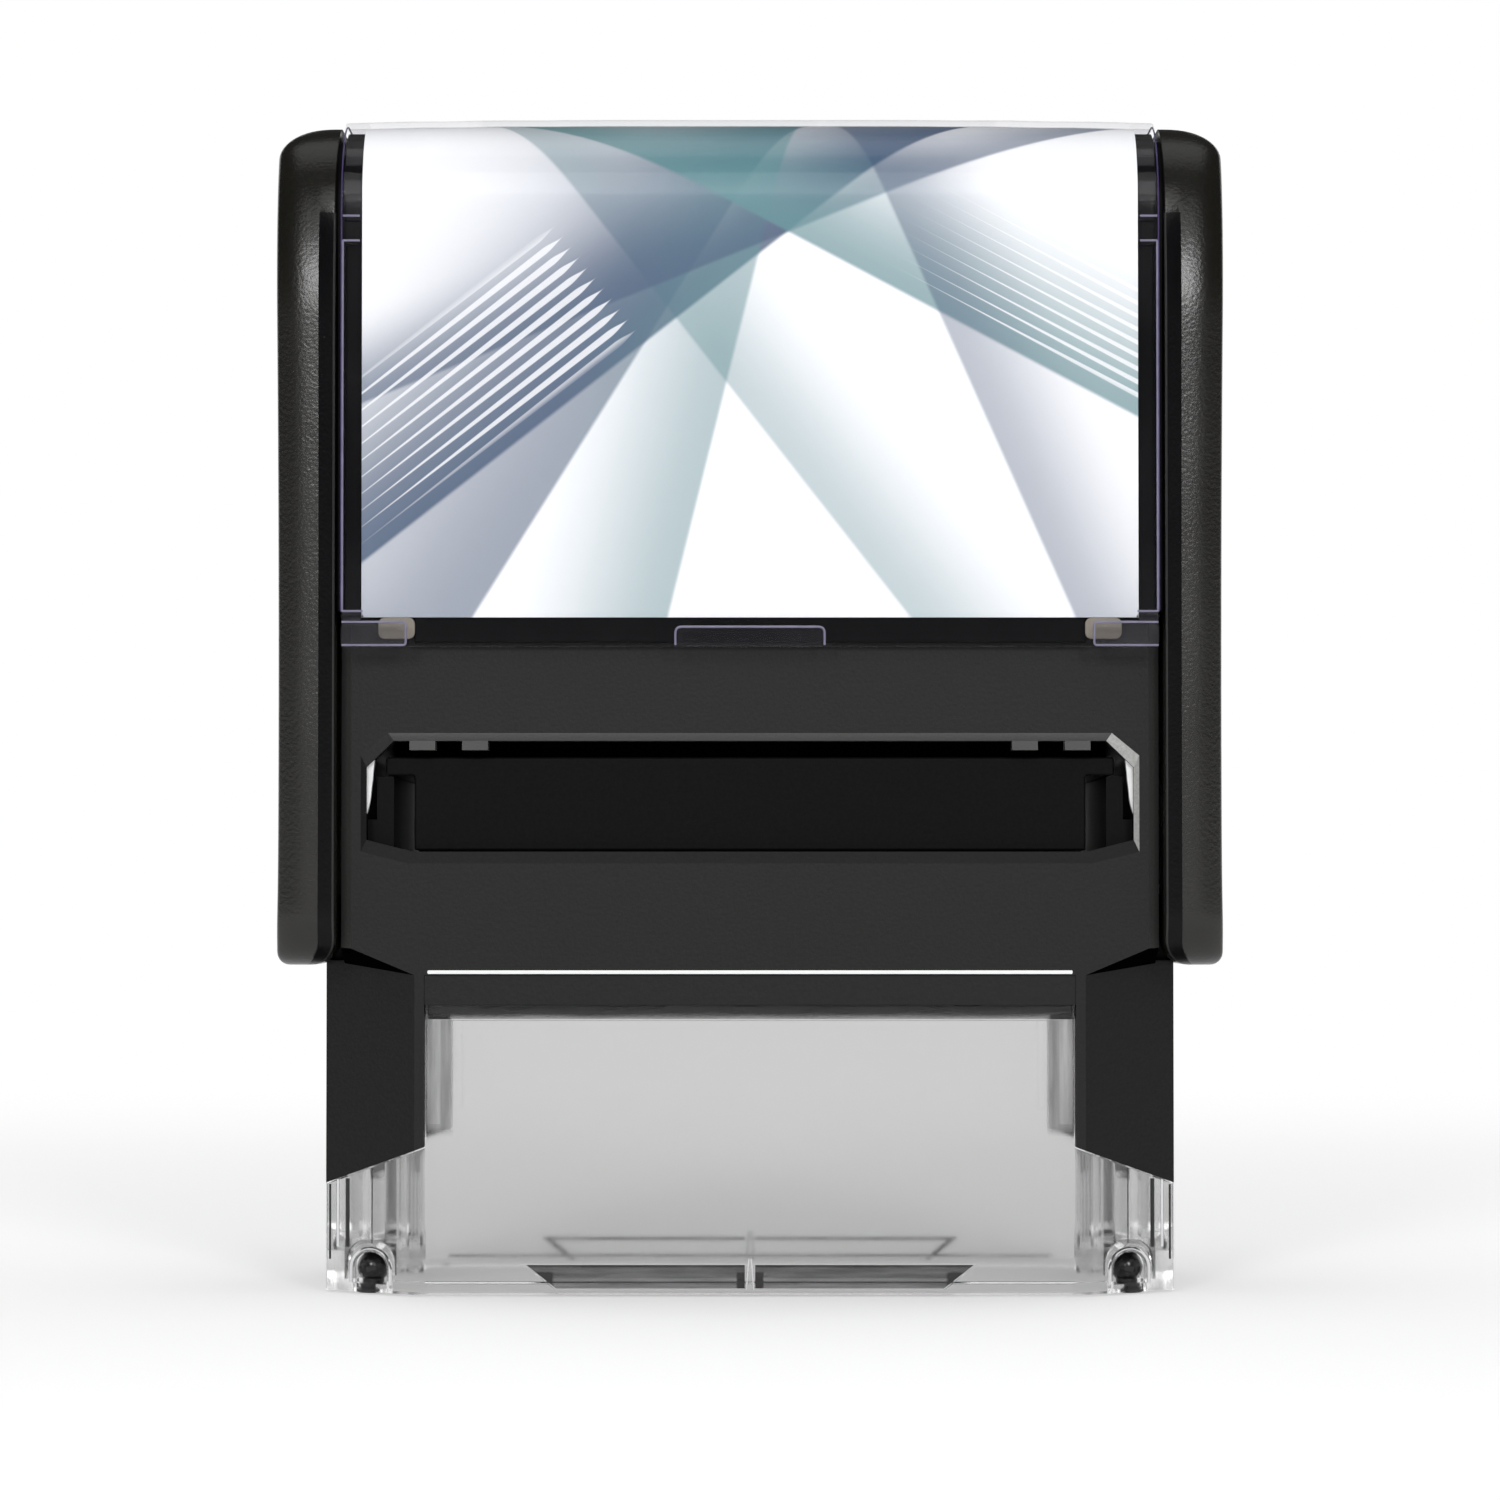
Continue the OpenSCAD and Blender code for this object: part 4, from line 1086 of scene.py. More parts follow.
# How far out the front slot's level edges reach, and a depth that all edges of the slots are past
SLOT_REACH, SLOT_FRONT = 28.5 * MM, 15.2 * MM
# Depth of the slots' inner edges in the frame, and the depths that their raised frames and the ribs' feet get
SLOT_DEPTH, FRAME_DEPTH, RIB_DEPTH = 16.0 * MM, 17.3 * MM, 17.42 * MM
# Corners closer than this to a place in the frame lie at it
NEAR = 0.05 * MM
# Size of the corner facets of the skirt and the base in x and y, and how far above the base they end
FACET, FACET_RISE = (7.2 * MM, 5.6 * MM), 2 * MM
# The gaps over the base's corners, whose sloping faces get painted shade: how far their faces point down, and
# how near to the base's top they lie
GAP_SLOPE, GAP_BAND = (-0.98, -0.2), 4 * MM
# Faces with painted light: where the corners and the slot's end start, where the ribs end, and the heights of
# the ribs and the brow with the band round them
LIT_CORNER, LIT_END, LIT_RIB = (30.5 * MM, 16.2 * MM), 28 * MM, 26.5 * MM
RIB_MIDDLE, BROW_MIDDLE, LIT_BAND = 42.2 * MM, 43 * MM, 0.5 * MM
# How far a corner with painted light, the brow and the slot's end face their own way
CORNER_FACING, BROW_FACING, END_FACING = 0.5, 0.1, 0.08
# Finishes of the faces with painted light, and how many times the brightness of the worn and highlighted
# colour they have
PAINTED_LIGHT_FINISHES = (("worn_edge", 1.0), ("worn_slot", 0.33), ("rubbed_end", 8.0))
# The shoulders that stand on the skirt inside the grips: sides, half depth, the skirt's top, foot and top
# from there, and how round they are in outline and along their edges
SHOULDER_SPAN, SHOULDER_HALF, SKIRT_TOP = (31.4 * MM, 32.9 * MM), 10.5 * MM, 25.8 * MM
SHOULDER_RISE, SHOULDER_ROUND = (-0.4 * MM, 2.6 * MM), (0.6 * MM, 0.3 * MM)
# The white stripe: half length, height over the base, how far it stands out of the front and in it, and how
# round it is
STRIPE_HALF, STRIPE_LIFT, STRIPE_PROUD, STRIPE_SUNK = 24.8 * MM, 0.2 * MM, 0.04 * MM, 0.05 * MM
STRIPE_ROUND = (0.1 * MM, 0.02 * MM)


def fit_slots(mesh):
    """Draws the edges of the housing's slots out to raised frames, and raises the front one's roof and ribs.

    Each corner near a named depth or height moves to the new one.
    """
    points = np.empty(len(mesh.vertices) * 3, np.float32)
    mesh.vertices.foreach_get("co", points)
    points = points.reshape(-1, 3)
    across, back, up = np.abs(points[:, 0]), np.abs(points[:, 1]), points[:, 2].copy()
    ribs = (up > RIB_BAND[0]) & (up < RIB_BAND[1]) & (across < RIB_REACH) & (back > SLOT_FRONT)
    inner = np.abs(back - SLOT_DEPTH) < NEAR
    feet = inner & (np.abs(up - SLOT_RISES[0][0]) < NEAR)
    points[inner, 1] = np.sign(points[inner, 1]) * np.where(feet[inner], RIB_DEPTH, FRAME_DEPTH)
    points[ribs, 0] += RIB_SHIFT * np.sign(points[ribs, 0])
    for height, rise in SLOT_RISES:
        level = (across < SLOT_REACH) & (points[:, 1] < -SLOT_FRONT) & (np.abs(up - height) < NEAR)
        points[level, 2] += rise
    mesh.vertices.foreach_set("co", points.ravel())
    mesh.update()


def shaded_faces(mesh, low, base_top):
    """Faces inside the housing, and sloping faces in the gaps over the base's corners, all of them for
    painted shade.

    A face is inside where the largest of x / half width, y / half depth and its place towards the nearest
    corner facet, for which the facet is at 1, is small.
    """
    middle, way = face_places(mesh)
    across, back = np.abs(middle[:, 0]), np.abs(middle[:, 1])
    facet = (across * FACET[1] + back * FACET[0]) / (FACET[1] * -low[0] + FACET[0] * (-low[1] - FACET[1]))
    facet[middle[:, 2] > base_top + FACET_RISE] = 0
    skin = np.max([across / -low[0], back / -low[1], facet], 0)
    sloping = (way[:, 2] < GAP_SLOPE[1]) & (way[:, 2] > GAP_SLOPE[0]) & (across > -low[0] - FACET[0])
    return skin < INSIDE_SHARE, sloping & (np.abs(middle[:, 2] - base_top) < GAP_BAND)


def painted_light_faces(mesh, front):
    """Faces with painted light, on a housing whose front is at a depth: corners, the slot's ribs and brow,
    and its end.
    """
    middle, way = face_places(mesh)
    across, back, up = np.abs(middle[:, 0]), np.abs(middle[:, 1]), middle[:, 2]
    proud = back > front + HAIR
    aslant = (np.abs(way[:, 0]) > CORNER_FACING) & (np.abs(way[:, 1]) > CORNER_FACING)
    corner = (across > LIT_CORNER[0]) & (back > LIT_CORNER[1]) & aslant
    rib = (back > FRAME_DEPTH) & (across < LIT_RIB) & (np.abs(up - RIB_MIDDLE) < LIT_BAND)
    brow = proud & (way[:, 2] > BROW_FACING) & (np.abs(up - BROW_MIDDLE) < LIT_BAND)
    forward = way[:, 1] < -CORNER_FACING
    end = proud & (way[:, 0] > END_FACING) & forward & (middle[:, 0] > LIT_END)
    return corner, rib | brow, end


class STAMP_OT_housing(StampOperator):
    """Make the black housing with soft edges and its white stripe"""

    bl_idname = "stamp.housing"
    bl_label = "Housing"

    def execute(self, context):
        sizes, colours = context.scene.stamp_sizes, context.scene.stamp_colours
        finish = moulded_finish("moulded_shell", colours.shell)
        low = corners("housing")[0]
        base_top = corners("clear_base")[1][2]
        mesh = frame_copy("moulded_housing", "housing")
        fit_slots(mesh)
        piece = add_piece("moulded_housing", mesh, finish, "frame", "black_shell", "housing")
        inside, gap_shade = shaded_faces(mesh, low, base_top)
        # Inner faces get a smoother, darker and duller finish, which adds painted shade
        paint_faces(mesh, moulded_finish("smooth_inside", colours.part), inside)
        # Near-black painted shade on the sloping faces in the gaps over the base's corners
        paint_faces(mesh, shadow_finish("gap_shadow"), gap_shade)
        # The corners, the slot's ribs and brow and its right end get painted light in lighter finishes
        for (name, level), chosen in zip(PAINTED_LIGHT_FINISHES, painted_light_faces(mesh, -low[1])):
            paint_faces(mesh, moulded_finish(name, tinted(colours.wear_and_highlight, level)), chosen)
        soften(piece, sizes.shell_edge)
        self.add_trim(sizes, colours, finish, low, base_top)
        return {"FINISHED"}

    def add_trim(self, sizes, colours, finish, low, base_top):
        """The shoulders inside the grips' feet, and the white stripe low on the front."""
        foot, top = SKIRT_TOP + SHOULDER_RISE[0], SKIRT_TOP + SHOULDER_RISE[1]
        near, far = [SHOULDER_SPAN[0], -SHOULDER_HALF, foot], [SHOULDER_SPAN[1], SHOULDER_HALF, top]
        shoulder = rounded_block(near, far, "z", *SHOULDER_ROUND)
        blocks = [mirrored(shoulder, side) for _, side in SIDES]
        add_solids("side_shoulders", blocks, finish, "frame", "black_shell")
        foot = base_top + STRIPE_LIFT
        near = [-STRIPE_HALF, low[1] - STRIPE_PROUD, foot]
        far = [STRIPE_HALF, low[1] + STRIPE_SUNK, foot + sizes.stripe_height]
        stripe = rounded_block(near, far, "y", *STRIPE_ROUND)
        white = printed_finish("white_print", colours.stripe)
        add_solids("front_stripe", [stripe], white, "frame", "printed_card")


# The clear base's haze, and how strongly it bends light
BASE_HAZE, BASE_BEND = 0.12, 1.22
# The openings in front of the rubber feet, and a ridge round each: its distance and radius
OPENING_HALF, OPENING_FOOT, FOOT_SPRING, FOOT_RIDGE = 1.3 * MM, 0.85 * MM, 2.0 * MM, (0.3 * MM, 0.15 * MM)
# The base's four corners as mirror images of the front right one
CORNERS = tuple(np.array([x, y, 1]) for x in (-1, 1) for y in (-1, 1))
# Ridges on the corner facets: place, foot, top and radius
CORNER_RIDGES = ((32.95 * MM, 0.3 * MM, 8.5 * MM, 0.07 * MM), (32.0 * MM, 3.6 * MM, 8.8 * MM, 0.14 * MM))
# Dark columns of painted shade there, in the same order
CORNER_SHADES = (
    (32.65 * MM, 2.6 * MM, 8.4 * MM, 0.09 * MM),
    (31.2 * MM, 3.6 * MM, 8.9 * MM, 0.17 * MM),
    (29.2 * MM, 4.0 * MM, 9.8 * MM, 0.05 * MM),
)
# The ridges along the rim, and the two lines of each middle mark, as the foot and top of the right one
RIM_HALF, RIM_TOP, RIM_IN, RIM_RADIUS = 25 * MM, 1.0 * MM, 1.6 * MM, 0.12 * MM
TICK, TICK_RADIUS = ((0.28 * MM, 0.6 * MM), (0.1 * MM, 2.95 * MM)), 0.09 * MM
# Sheets of painted shade in the recesses of the front and back
RECESS_DEPTH, SHADE_THICK = 0.6 * MM, 0.04 * MM
RECESS_SHADE = ((0.4 * MM, 0.65 * MM), (14.9 * MM, 0.65 * MM), (17.2 * MM, 2.45 * MM), (0.4 * MM, 2.45 * MM))
# Outline of the rear recess in painted shade: a line along its top and one along its slanting end
TOP_SHADE = ((0.4 * MM, 2.25 * MM), (16.6 * MM, 2.25 * MM), (16.9 * MM, 2.48 * MM), (0.4 * MM, 2.48 * MM))
END_SHADE = ((14.5 * MM, 0.65 * MM), (14.9 * MM, 0.65 * MM), (17.2 * MM, 2.48 * MM), (16.7 * MM, 2.48 * MM))
# The dark lip of painted shade over the base's window: half width, heights, depths behind the base's front,
# and how round it is
WINDOW_HALF, WINDOW_SHADE_LIP = 24.9 * MM, (21.3 * MM, 22.9 * MM)
SHADE_LIP_DEPTHS, SHADE_LIP_ROUND = (2.0 * MM, 2.3 * MM), (0.1 * MM, 0.1 * MM)
# The borders of painted shade beside the window: width, foot, depths behind the base's front, and their
# rounding
SIDE_SHADE, SIDE_SHADE_FOOT, SIDE_SHADE_DEPTHS = 2.0 * MM, 12.2 * MM, (2.0 * MM, 2.02 * MM)
SIDE_SHADE_ROUND = (0.1 * MM, 0.005 * MM)
# Faces of the base larger than this are flat
SMALL_FACE = 1.5 * MM * MM
# Upright edges where the base's front meets its corner facets, outside and inside: x, y and the bevel's width
FACET_EDGES = ((25.8 * MM, 17.1 * MM, 0.75 * MM), (25.22 * MM, 15.4 * MM, 0.26 * MM))
# Steps of a rounded upright edge, and points along a line on a facet
UPRIGHT_STEPS, LINE_POINTS = 6, 9


def round_upright(mesh, x, y, width):
    """Rounds the four upright edges of a mesh that stand at (x, y) and its mirror images."""
    shape = bmesh.new()
    shape.from_mesh(mesh)
    near = {v for v in shape.verts if abs(abs(v.co.x) - x) < NEAR and abs(abs(v.co.y) - y) < NEAR}
    edges = []
    for edge in shape.edges:
        start, end = edge.verts
        if start in near and end in near and (start.co - end.co).to_2d().length < 2 * NEAR:
            edges.append(edge)
    bmesh.ops.bevel(shape, geom=edges, offset=width, segments=UPRIGHT_STEPS, profile=0.5, affect="EDGES")
    shape.to_mesh(mesh)
    shape.free()
    smooth(mesh)


def facet_beads(flat, high, radius):
    """Ridges along a path (x, z) on each of the base's four corner facets."""
    return [bead_rows(on_facet(flat, high) * corner, radius) for corner in CORNERS]


def upright_line(x, foot, top):
    """Points of an upright line, as (x, z)."""
    return np.stack([np.full(LINE_POINTS, x), np.linspace(foot, top, LINE_POINTS)], -1)


class STAMP_OT_base(StampOperator):
    """Make the clear base, the cam plates and the rubber feet"""

    bl_idname = "stamp.base"
    bl_label = "Clear base"

    def execute(self, context):
        sizes, colours = context.scene.stamp_sizes, context.scene.stamp_colours
        finish = clear_finish("clear_base_plastic", colours.clear, BASE_HAZE, BASE_BEND)
        mesh = frame_copy("clear_foot_frame", "clear_base")
        for edge in FACET_EDGES:
            round_upright(mesh, *edge)
        piece = add_piece("clear_foot_frame", mesh, finish, "frame", "clear_plastic", "clear_base")
        high = corners("clear_base")[1]
        foot = sum(corners("front_right_foot")) / 2
        opening = arch_path(foot[0], OPENING_HALF, FOOT_SPRING, OPENING_FOOT)
        cutter = carried(opening, "y", (-high[1] - MM, foot[1]))
        for corner in CORNERS:
            cut_out(piece, cutter * corner)
        areas = np.empty(len(piece.data.polygons), np.float32)
        piece.data.polygons.foreach_get("area", areas)
        piece.data.polygons.foreach_set("use_smooth", areas < SMALL_FACE)
        soften(piece, sizes.clear_edge).modifiers["soft_edges"].harden_normals = False
        self.add_ridges(colours, foot, high)
        # White strips of painted highlight at the cartridge slot's ends
        painted_glint = edge_and_painted_light_finish("frosted_guide", colours.guide, 0.0)
        for side, sign in SIDES:
            add_copy(side + "_cam_track", side + "_cam_plate", finish, "frame", "clear_plastic")
            guide = mirrored(slot_glint_rows(), sign)
            add_solids(side + "_track_guide", [guide], painted_glint, "frame", "clear_plastic")
        self.add_shade_sheets(colours, high)
        rubber = moulded_finish("foot_rubber", colours.foot)
        for end in ("front", "rear"):
            for side, _ in SIDES:
                name = f"{end}_{side}"
                rings = foot_rings(name + "_foot")
                add_solids(name + "_pad", [rings], rubber, "frame", "foot_rubber", name + "_foot")
        return {"FINISHED"}

    def add_ridges(self, colours, foot, high):
        """Ridges that gather light, round the feet, up the corners, along the rim and at the middle marks.

        Dark columns of painted shade stand beside them on the corner facets.
        """
        room, radius = FOOT_RIDGE
        arch = arch_path(foot[0], OPENING_HALF + room, FOOT_SPRING, OPENING_FOOT)
        grids = facet_beads(arch, high, radius)
        for x, z0, z1, radius in CORNER_RIDGES:
            grids += facet_beads(upright_line(x, z0, z1), high, radius)
        rim = [(-RIM_HALF, RIM_TOP), (RIM_HALF, RIM_TOP)]
        for front in (-1, 1):
            grids.append(bead_rows(bent_path(rim, 0, front * (high[1] - RIM_IN)), RIM_RADIUS))
            for side in (-1, 1):
                tick = [(side * x, z) for x, z in TICK]
                grids.append(bead_rows(bent_path(tick, 0, front * high[1]), TICK_RADIUS))
        bright = glint_finish("bright_edge", colours.bright)
        add_solids("base_ridges", grids, bright, "frame", "clear_plastic")
        grids = []
        for x, z0, z1, radius in CORNER_SHADES:
            grids += facet_beads(upright_line(x, z0, z1), high, radius)
        add_solids("base_columns", grids, edge_and_painted_light_finish("dark_edge", colours.lip), "frame", "clear_plastic")

    def add_shade_sheets(self, colours, high):
        """Sheets of painted shade: in the recesses of the base, as a lip over its window and as borders
        beside it.
        """
        recess_shades, shade_lips, side_shades = [], [], []
        floor = RECESS_DEPTH - high[1]
        outlines = ((RECESS_SHADE, floor - HAIR), (TOP_SHADE, HAIR - floor), (END_SHADE, 2 * HAIR - floor))
        for side in (-1, 1):
            for outline, depth in outlines:
                loop = np.array(outline) * [side, 1]
                recess_shades.append(carried(loop, "y", (depth, depth + np.sign(depth) * SHADE_THICK)))
        for front in (-1, 1):
            y = np.sort([front * (high[1] - depth) for depth in SHADE_LIP_DEPTHS])
            near, far = [-WINDOW_HALF, y[0], WINDOW_SHADE_LIP[0]], [WINDOW_HALF, y[1], WINDOW_SHADE_LIP[1]]
            shade_lips.append(rounded_block(near, far, "y", *SHADE_LIP_ROUND))
        y = [depth - high[1] for depth in SIDE_SHADE_DEPTHS]
        for side in (-1, 1):
            x = np.sort([side * (WINDOW_HALF - SIDE_SHADE), side * WINDOW_HALF])
            near, far = [x[0], y[0], SIDE_SHADE_FOOT], [x[1], y[1], WINDOW_SHADE_LIP[0] - HAIR]
            side_shades.append(rounded_block(near, far, "y", *SIDE_SHADE_ROUND))
        painted_recess = smoky_and_shade_finish("smoky_mark", colours.lip, recess_shade_cover)
        add_solids("sighting_marks", recess_shades, painted_recess, "frame", "clear_plastic")
        window_shade = smoky_and_shade_finish("dark_lip", colours.lip, window_shade_cover)
        add_solids("window_lip", shade_lips, window_shade, "frame", "black_shell")
        side_shade = smoky_and_shade_finish("pale_border", colours.window_side_shade, side_shade_cover, UPRIGHT_STREAKS)
        add_solids("window_borders", side_shades, side_shade, "frame", "clear_plastic")


class STAMP_OT_springs(StampOperator):
    """Make the two return springs"""

    bl_idname = "stamp.springs"
    bl_label = "Return springs"

    def execute(self, context):
        sizes, colours = context.scene.stamp_sizes, context.scene.stamp_colours
        steel = wire_finish("spring_wire", colours.steel)
        travel = next(joint for joint in frame["joints"] if joint["name"] == "press")["range_m"][1]
        for side, _ in SIDES:
            node = side + "_spring"
            low, high = corners(node)
            coil = spring_coil(node, sizes)
            piece = add_solids(side + "_coil", [coil], steel, "frame", "spring_steel", node)
            keep = 1 - travel / float(high[2] - low[2])
            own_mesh(piece)
        return {"FINISHED"}


# The ribs at the cap core's ends: height of their feet over the core's, room at their sides and thickness
RIB_FOOT, RIB_GAP, RIB_THICK = 1.5 * MM, 0.08 * MM, 1.0 * MM
# Share of the worn and highlighted colour's brightness on the grips' inner edges, which show wear and a
# painted highlight, and how far below the strip's top the strip's painted shade ends, in lengths of its fade
GRIP_WEAR_AND_HIGHLIGHT, STRIP_SHADE_END = 0.5, 0.6
# Half the lock buttons' width and height, the room round them, and a place outside the grips
BUTTON_HALF, LOCK_GAP, OUTSIDE = (4.5 * MM, 3.0 * MM), 0.15 * MM, 40 * MM
# Thickness of the cover's top, the room between it and what lies under it, and the radius of the card's roll
TOP_WALL, TOP_ROOM, CARD_ROLL = 0.4 * MM, 0.05 * MM, ROLL_RADIUS - 0.8 * MM


class STAMP_OT_cap(StampOperator):
    """Make the cap's core and the two soft grips"""

    bl_idname = "stamp.cap"
    bl_label = "Cap and grips"

    def execute(self, context):
        sizes, colours = context.scene.stamp_sizes, context.scene.stamp_colours
        inner = moulded_finish("black_inner", colours.core)
        soften(add_copy("cap_inner", "cap_core", inner, "cap", "black_part"), sizes.shell_edge)
        self.add_ribs(sizes, colours)
        soft = moulded_finish("soft_grip", colours.grip)
        worn_and_lit = moulded_finish("worn_grip", tinted(colours.wear_and_highlight, GRIP_WEAR_AND_HIGHLIGHT))
        strip_shade = moulded_finish("grip_seam", colours.core)
        rings = grip_rings(sizes)
        columns = np.arange(rings.shape[1])
        back_columns = 2 * FRONT_LAST + SIDE_COLUMNS - columns
        below = rings[:-1, :1, 2] < STRIP_TOP - STRIP_SHADE_END * STRIP_FADE
        inside = corners("right_grip")[0][0] + CHANNEL_DEPTH / 2
        for side, sign in SIDES:
            grid = mirrored(rings, sign)
            piece = add_solids(side + "_side_grip", [grid], soft, "cap", "black_grip", side + "_grip")
            # The inner edges get wear and a painted highlight, and the strip beside them painted shade
            for finish, chosen in ((worn_and_lit, EDGE_COLUMNS), (strip_shade, STRIP_COLUMNS)):
                line = below & (np.isin(columns, chosen) | np.isin(back_columns, chosen))
                paint_faces(piece.data, finish, np.append(line.ravel(), [False, False]))
            low, high = corners(side + "_lock_button")
            button = pill_loop(*BUTTON_HALF, (low[2] + high[2]) / 2, LOCK_GAP)
            cut_out(piece, mirrored(carried(button, "x", (inside, OUTSIDE)), sign))
        return {"FINISHED"}

    def add_ribs(self, sizes, colours):
        """Smooth ribs at the core's ends that carry the cover: the card's profile, carried along x."""
        card_high, cover_high = corners("index_card")[1], corners("index_window")[1]
        top = cover_high[2] - TOP_WALL - TOP_ROOM - sizes.crown
        foot = corners("cap_core")[0][2] + RIB_FOOT
        grids = []
        for side in (-1, 1):
            ends = np.sort([side * (card_high[0] + RIB_GAP), side * (cover_high[0] - RIB_GAP)])
            sheets = []
            for inset in (0.0, RIB_THICK):
                flat = cap_profile(card_high[1] - inset, top - inset, CARD_ROLL - inset, foot)
                sheets.append(carried(flat, "x", ends))
            grids.append(np.concatenate([sheets[0], sheets[1][:, ::-1]], 1))
        polished = moulded_finish("polished_rib", colours.core)
        add_solids("core_ribs", grids, polished, "cap", "black_part")


# Width and steps of the round edges of the lock buttons and the ink tray
BUTTON_EDGE, TRAY_EDGE = (0.3 * MM, 4), (0.2 * MM, 3)


class STAMP_OT_locks(StampOperator):
    """Make the two lock buttons"""

    bl_idname = "stamp.locks"
    bl_label = "Lock buttons"

    def execute(self, context):
        finish = moulded_finish("black_button", context.scene.stamp_colours.part)
        for side, _ in SIDES:
            key = add_copy(side + "_lock_key", side + "_lock_button", finish, side + "_lock", "black_part")
            soften(key, *BUTTON_EDGE)
        return {"FINISHED"}


# The cover's haze, its walls, and how far its hooks and lip stand proud of them
COVER_HAZE, SIDE_WALL, PROUD = 0.08, 1.1 * MM, 0.3 * MM
# The cover's hooks: their height, that of their ledges, and the width, foot and top of each of two steps
PAD_HEIGHT, LEDGE_RISE = 2.8 * MM, 1.92 * MM
HOOK_STEPS = ((5.1 * MM, 0.0, LEDGE_RISE), (1.75 * MM, LEDGE_RISE + HAIR, PAD_HEIGHT))
# The cover's lip, and how round the hooks and the lip are
LIP_HALF, LIP_HEIGHT, PAD_ROUND = 5.75 * MM, 1.6 * MM, (0.5 * MM, 0.1 * MM)
# Ridges on the cover: how far they run inside its foot, its ends and its hooks' tops
BEAD_FOOT, BEAD_SIDE, BEAD_TOP = 0.15 * MM, 0.1 * MM, 0.05 * MM
# Widths of the hooks' two steps between their ridges, half width and height of the lip's, and their turns
HOOK_BEADS, LIP_BEADS, HOOK_TURN, LIP_TURN = (5.0 * MM, 1.7 * MM), (5.7 * MM, 1.55 * MM), 0.25 * MM, 0.5 * MM
# Heights of the ridges across the cover's margins, and where these end
MARGIN_LINES, MARGIN_IN = (82.9 * MM, 81.0 * MM), 29.9 * MM
# Radius of the cover's tinted ends, in radii of its ridges
END_SHARE = 0.7
# The card's thickness and the height of its foot, and its tabs' sides and how round they are
CARD_THICK, CARD_RISE = 0.3 * MM, 1.65 * MM
TAB_SPAN, TAB_ROUND = (25.7 * MM, 28.5 * MM), (0.5 * MM, 0.05 * MM)


